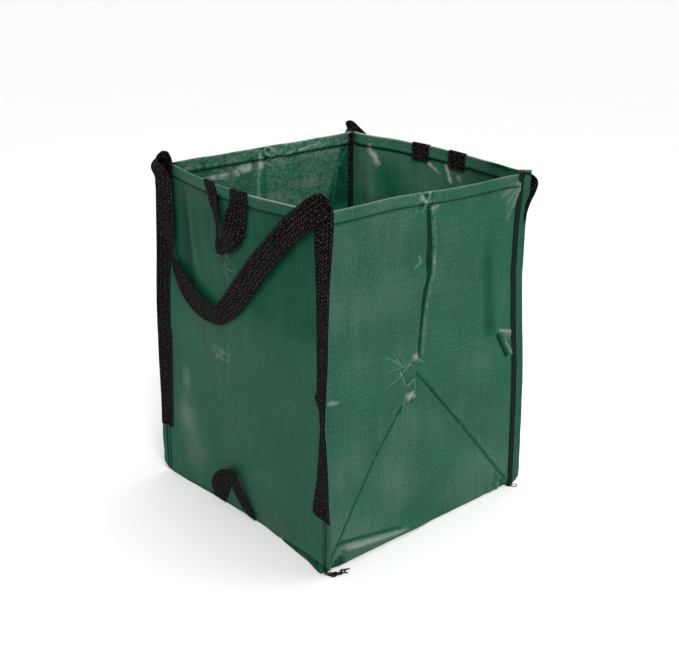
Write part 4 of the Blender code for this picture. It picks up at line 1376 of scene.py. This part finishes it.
def fin_lines(side):
    """Rows of stitches on both faces of a fin, and the slanting ones of its inner face."""
    z = np.linspace(6 * MM, HEIGHT - 3 * MM, ROW_POINTS)
    low = z[z < STRAP_END - 4 * MM]
    rows = [fin_place(side, z, out, INNER_FACE) for out in SEAM_PLACES]
    rows += [fin_place(side, low, out, OUTER_FACE) for out in LOW_SEAM_PLACES]
    binding = [fin_place(side, np.array([start, start + BINDING_SLANT]), np.array([0.0, 8.0 * MM]), INNER_FACE)
               for start in np.arange(6 * MM, HEIGHT - 6 * MM, BINDING_PITCH)]
    return rows, binding


for word, hand, side, _ in corners():
    rows, binding = fin_lines(side)
    row = stitch_row(f"{word}_{hand}_corner_stitches", rows, turned=word == "back")
    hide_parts(f"{word}_{hand}_corner_thread")
    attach(row, f"{word}_side")
    bound = stitch_row(f"{word}_{hand}_corner_binding", binding, turned=word == "back", **BINDING)
    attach(bound, f"{word}_side")
    print(row.name, bound.name)

# %% [markdown]
# Inside, the corner's raw edges are covered by a narrow black tape. It lies on the gusset, so it moves with it.

# %% Inner tape
TAPE_WIDTH = 15 * MM
INNER_TAPE = 1.0 * MM
TAPE_COLUMNS = 4
TAPE_ROWS = 90
TAPE_FOOT = 26 * MM


def inner_tape(hand, word, sign, front):
    """A tape down the inside of a gusset, beside its corner."""
    shares = np.linspace(0, 1, TAPE_COLUMNS)
    heights = np.linspace(TAPE_FOOT, HEIGHT - 1.5 * MM, TAPE_ROWS)
    hem_end = HEIGHT - HEM_HEIGHT
    rows = []
    for z in heights:
        y = -front * (half_side(z) - 2.5 * MM - shares * TAPE_WIDTH)
        level = np.full_like(y, z)
        inside = 1.4 * MM + 2 * HEM_RADIUS * ease(hem_end - 2 * MM, hem_end + 2 * MM, z)
        x = half_side(z) - dent(y, level) + np.minimum(gusset_relief(y, level, hand), 1.5 * MM) - inside
        rows.append(np.column_stack([x, y, level + rim_sag(y, level, hand)]))
    name = f"{hand}_gusset_{word}_inner_tape"
    return webbing_strip(name, rows, TAPE_COLUMNS, shares * TAPE_WIDTH, heights, sign < 0, INNER_TAPE)


for hand, sign in GUSSETS:
    for word, front in (("front", sign), ("back", -sign)):
        tape = inner_tape(hand, word, sign, front)
        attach(tape, f"{hand}_gusset_{word}")
print("four inner tapes")

# %% [markdown]
# ## Floor and light
# The bag stands on a plain pale floor in soft studio light: a pale surround, a distant key light from the front
# right, which brightens the gusset more than the front, a wide light above, a small one behind on the right, and a
# spot into the mouth.

# %% Floor and light
FLOOR_DARK = (0.86, 0.86, 0.86)
FLOOR_LIGHT = (0.89, 0.89, 0.89)


def pale_floor():
    """A wide plain floor."""
    made = bmesh.new()
    bmesh.ops.create_grid(made, x_segments=1, y_segments=1, size=30)
    material, tree, shader = new_finish("pale_floor", Roughness=0.9)
    place = add_node(tree, "ShaderNodeTexCoord").outputs["Object"]
    tree.links.new(blend_colour(noise_of(place, 3, 2), FLOOR_DARK, FLOOR_LIGHT), shader.inputs["Base Color"])
    floor = link_piece("floor", to_mesh("floor", made), material)
    return floor


def add_light(name, kind, power, place, target, **settings):
    """A light at a place that faces a point."""
    data = bpy.data.lights.new(name, kind)
    data.energy = power
    for key, value in settings.items():
        setattr(data, key, value)
    return aimed(name, data, place, Vector(target) - Vector(place))


pale_floor()
add_light("key_light", "SUN", 1.9, way_out(64, 46), (0, 0, 0), angle=math.radians(22))
add_light("wide_light", "AREA", 22, (0.1, 0.3, 2.6), (0, 0, 0.3), size=1.2)
add_light("right_light", "AREA", 9, (1.75, 1.35, 1.15), (0.2, 0, 0.35), size=0.9)
add_light("mouth_light", "SPOT", 56, (0.30, -0.32, 1.75), (-0.10, 0.12, 0.55), spot_size=math.radians(26),
          spot_blend=0.5, shadow_soft_size=0.08)
world = bpy.data.worlds.new("studio")
bpy.context.scene.world = world
world.use_nodes = True
surround = world.node_tree.nodes["Background"].inputs
surround["Color"].default_value = (1, 1, 1, 1)
surround["Strength"].default_value = 0.68
bpy.context.scene.view_settings.view_transform = "Standard"
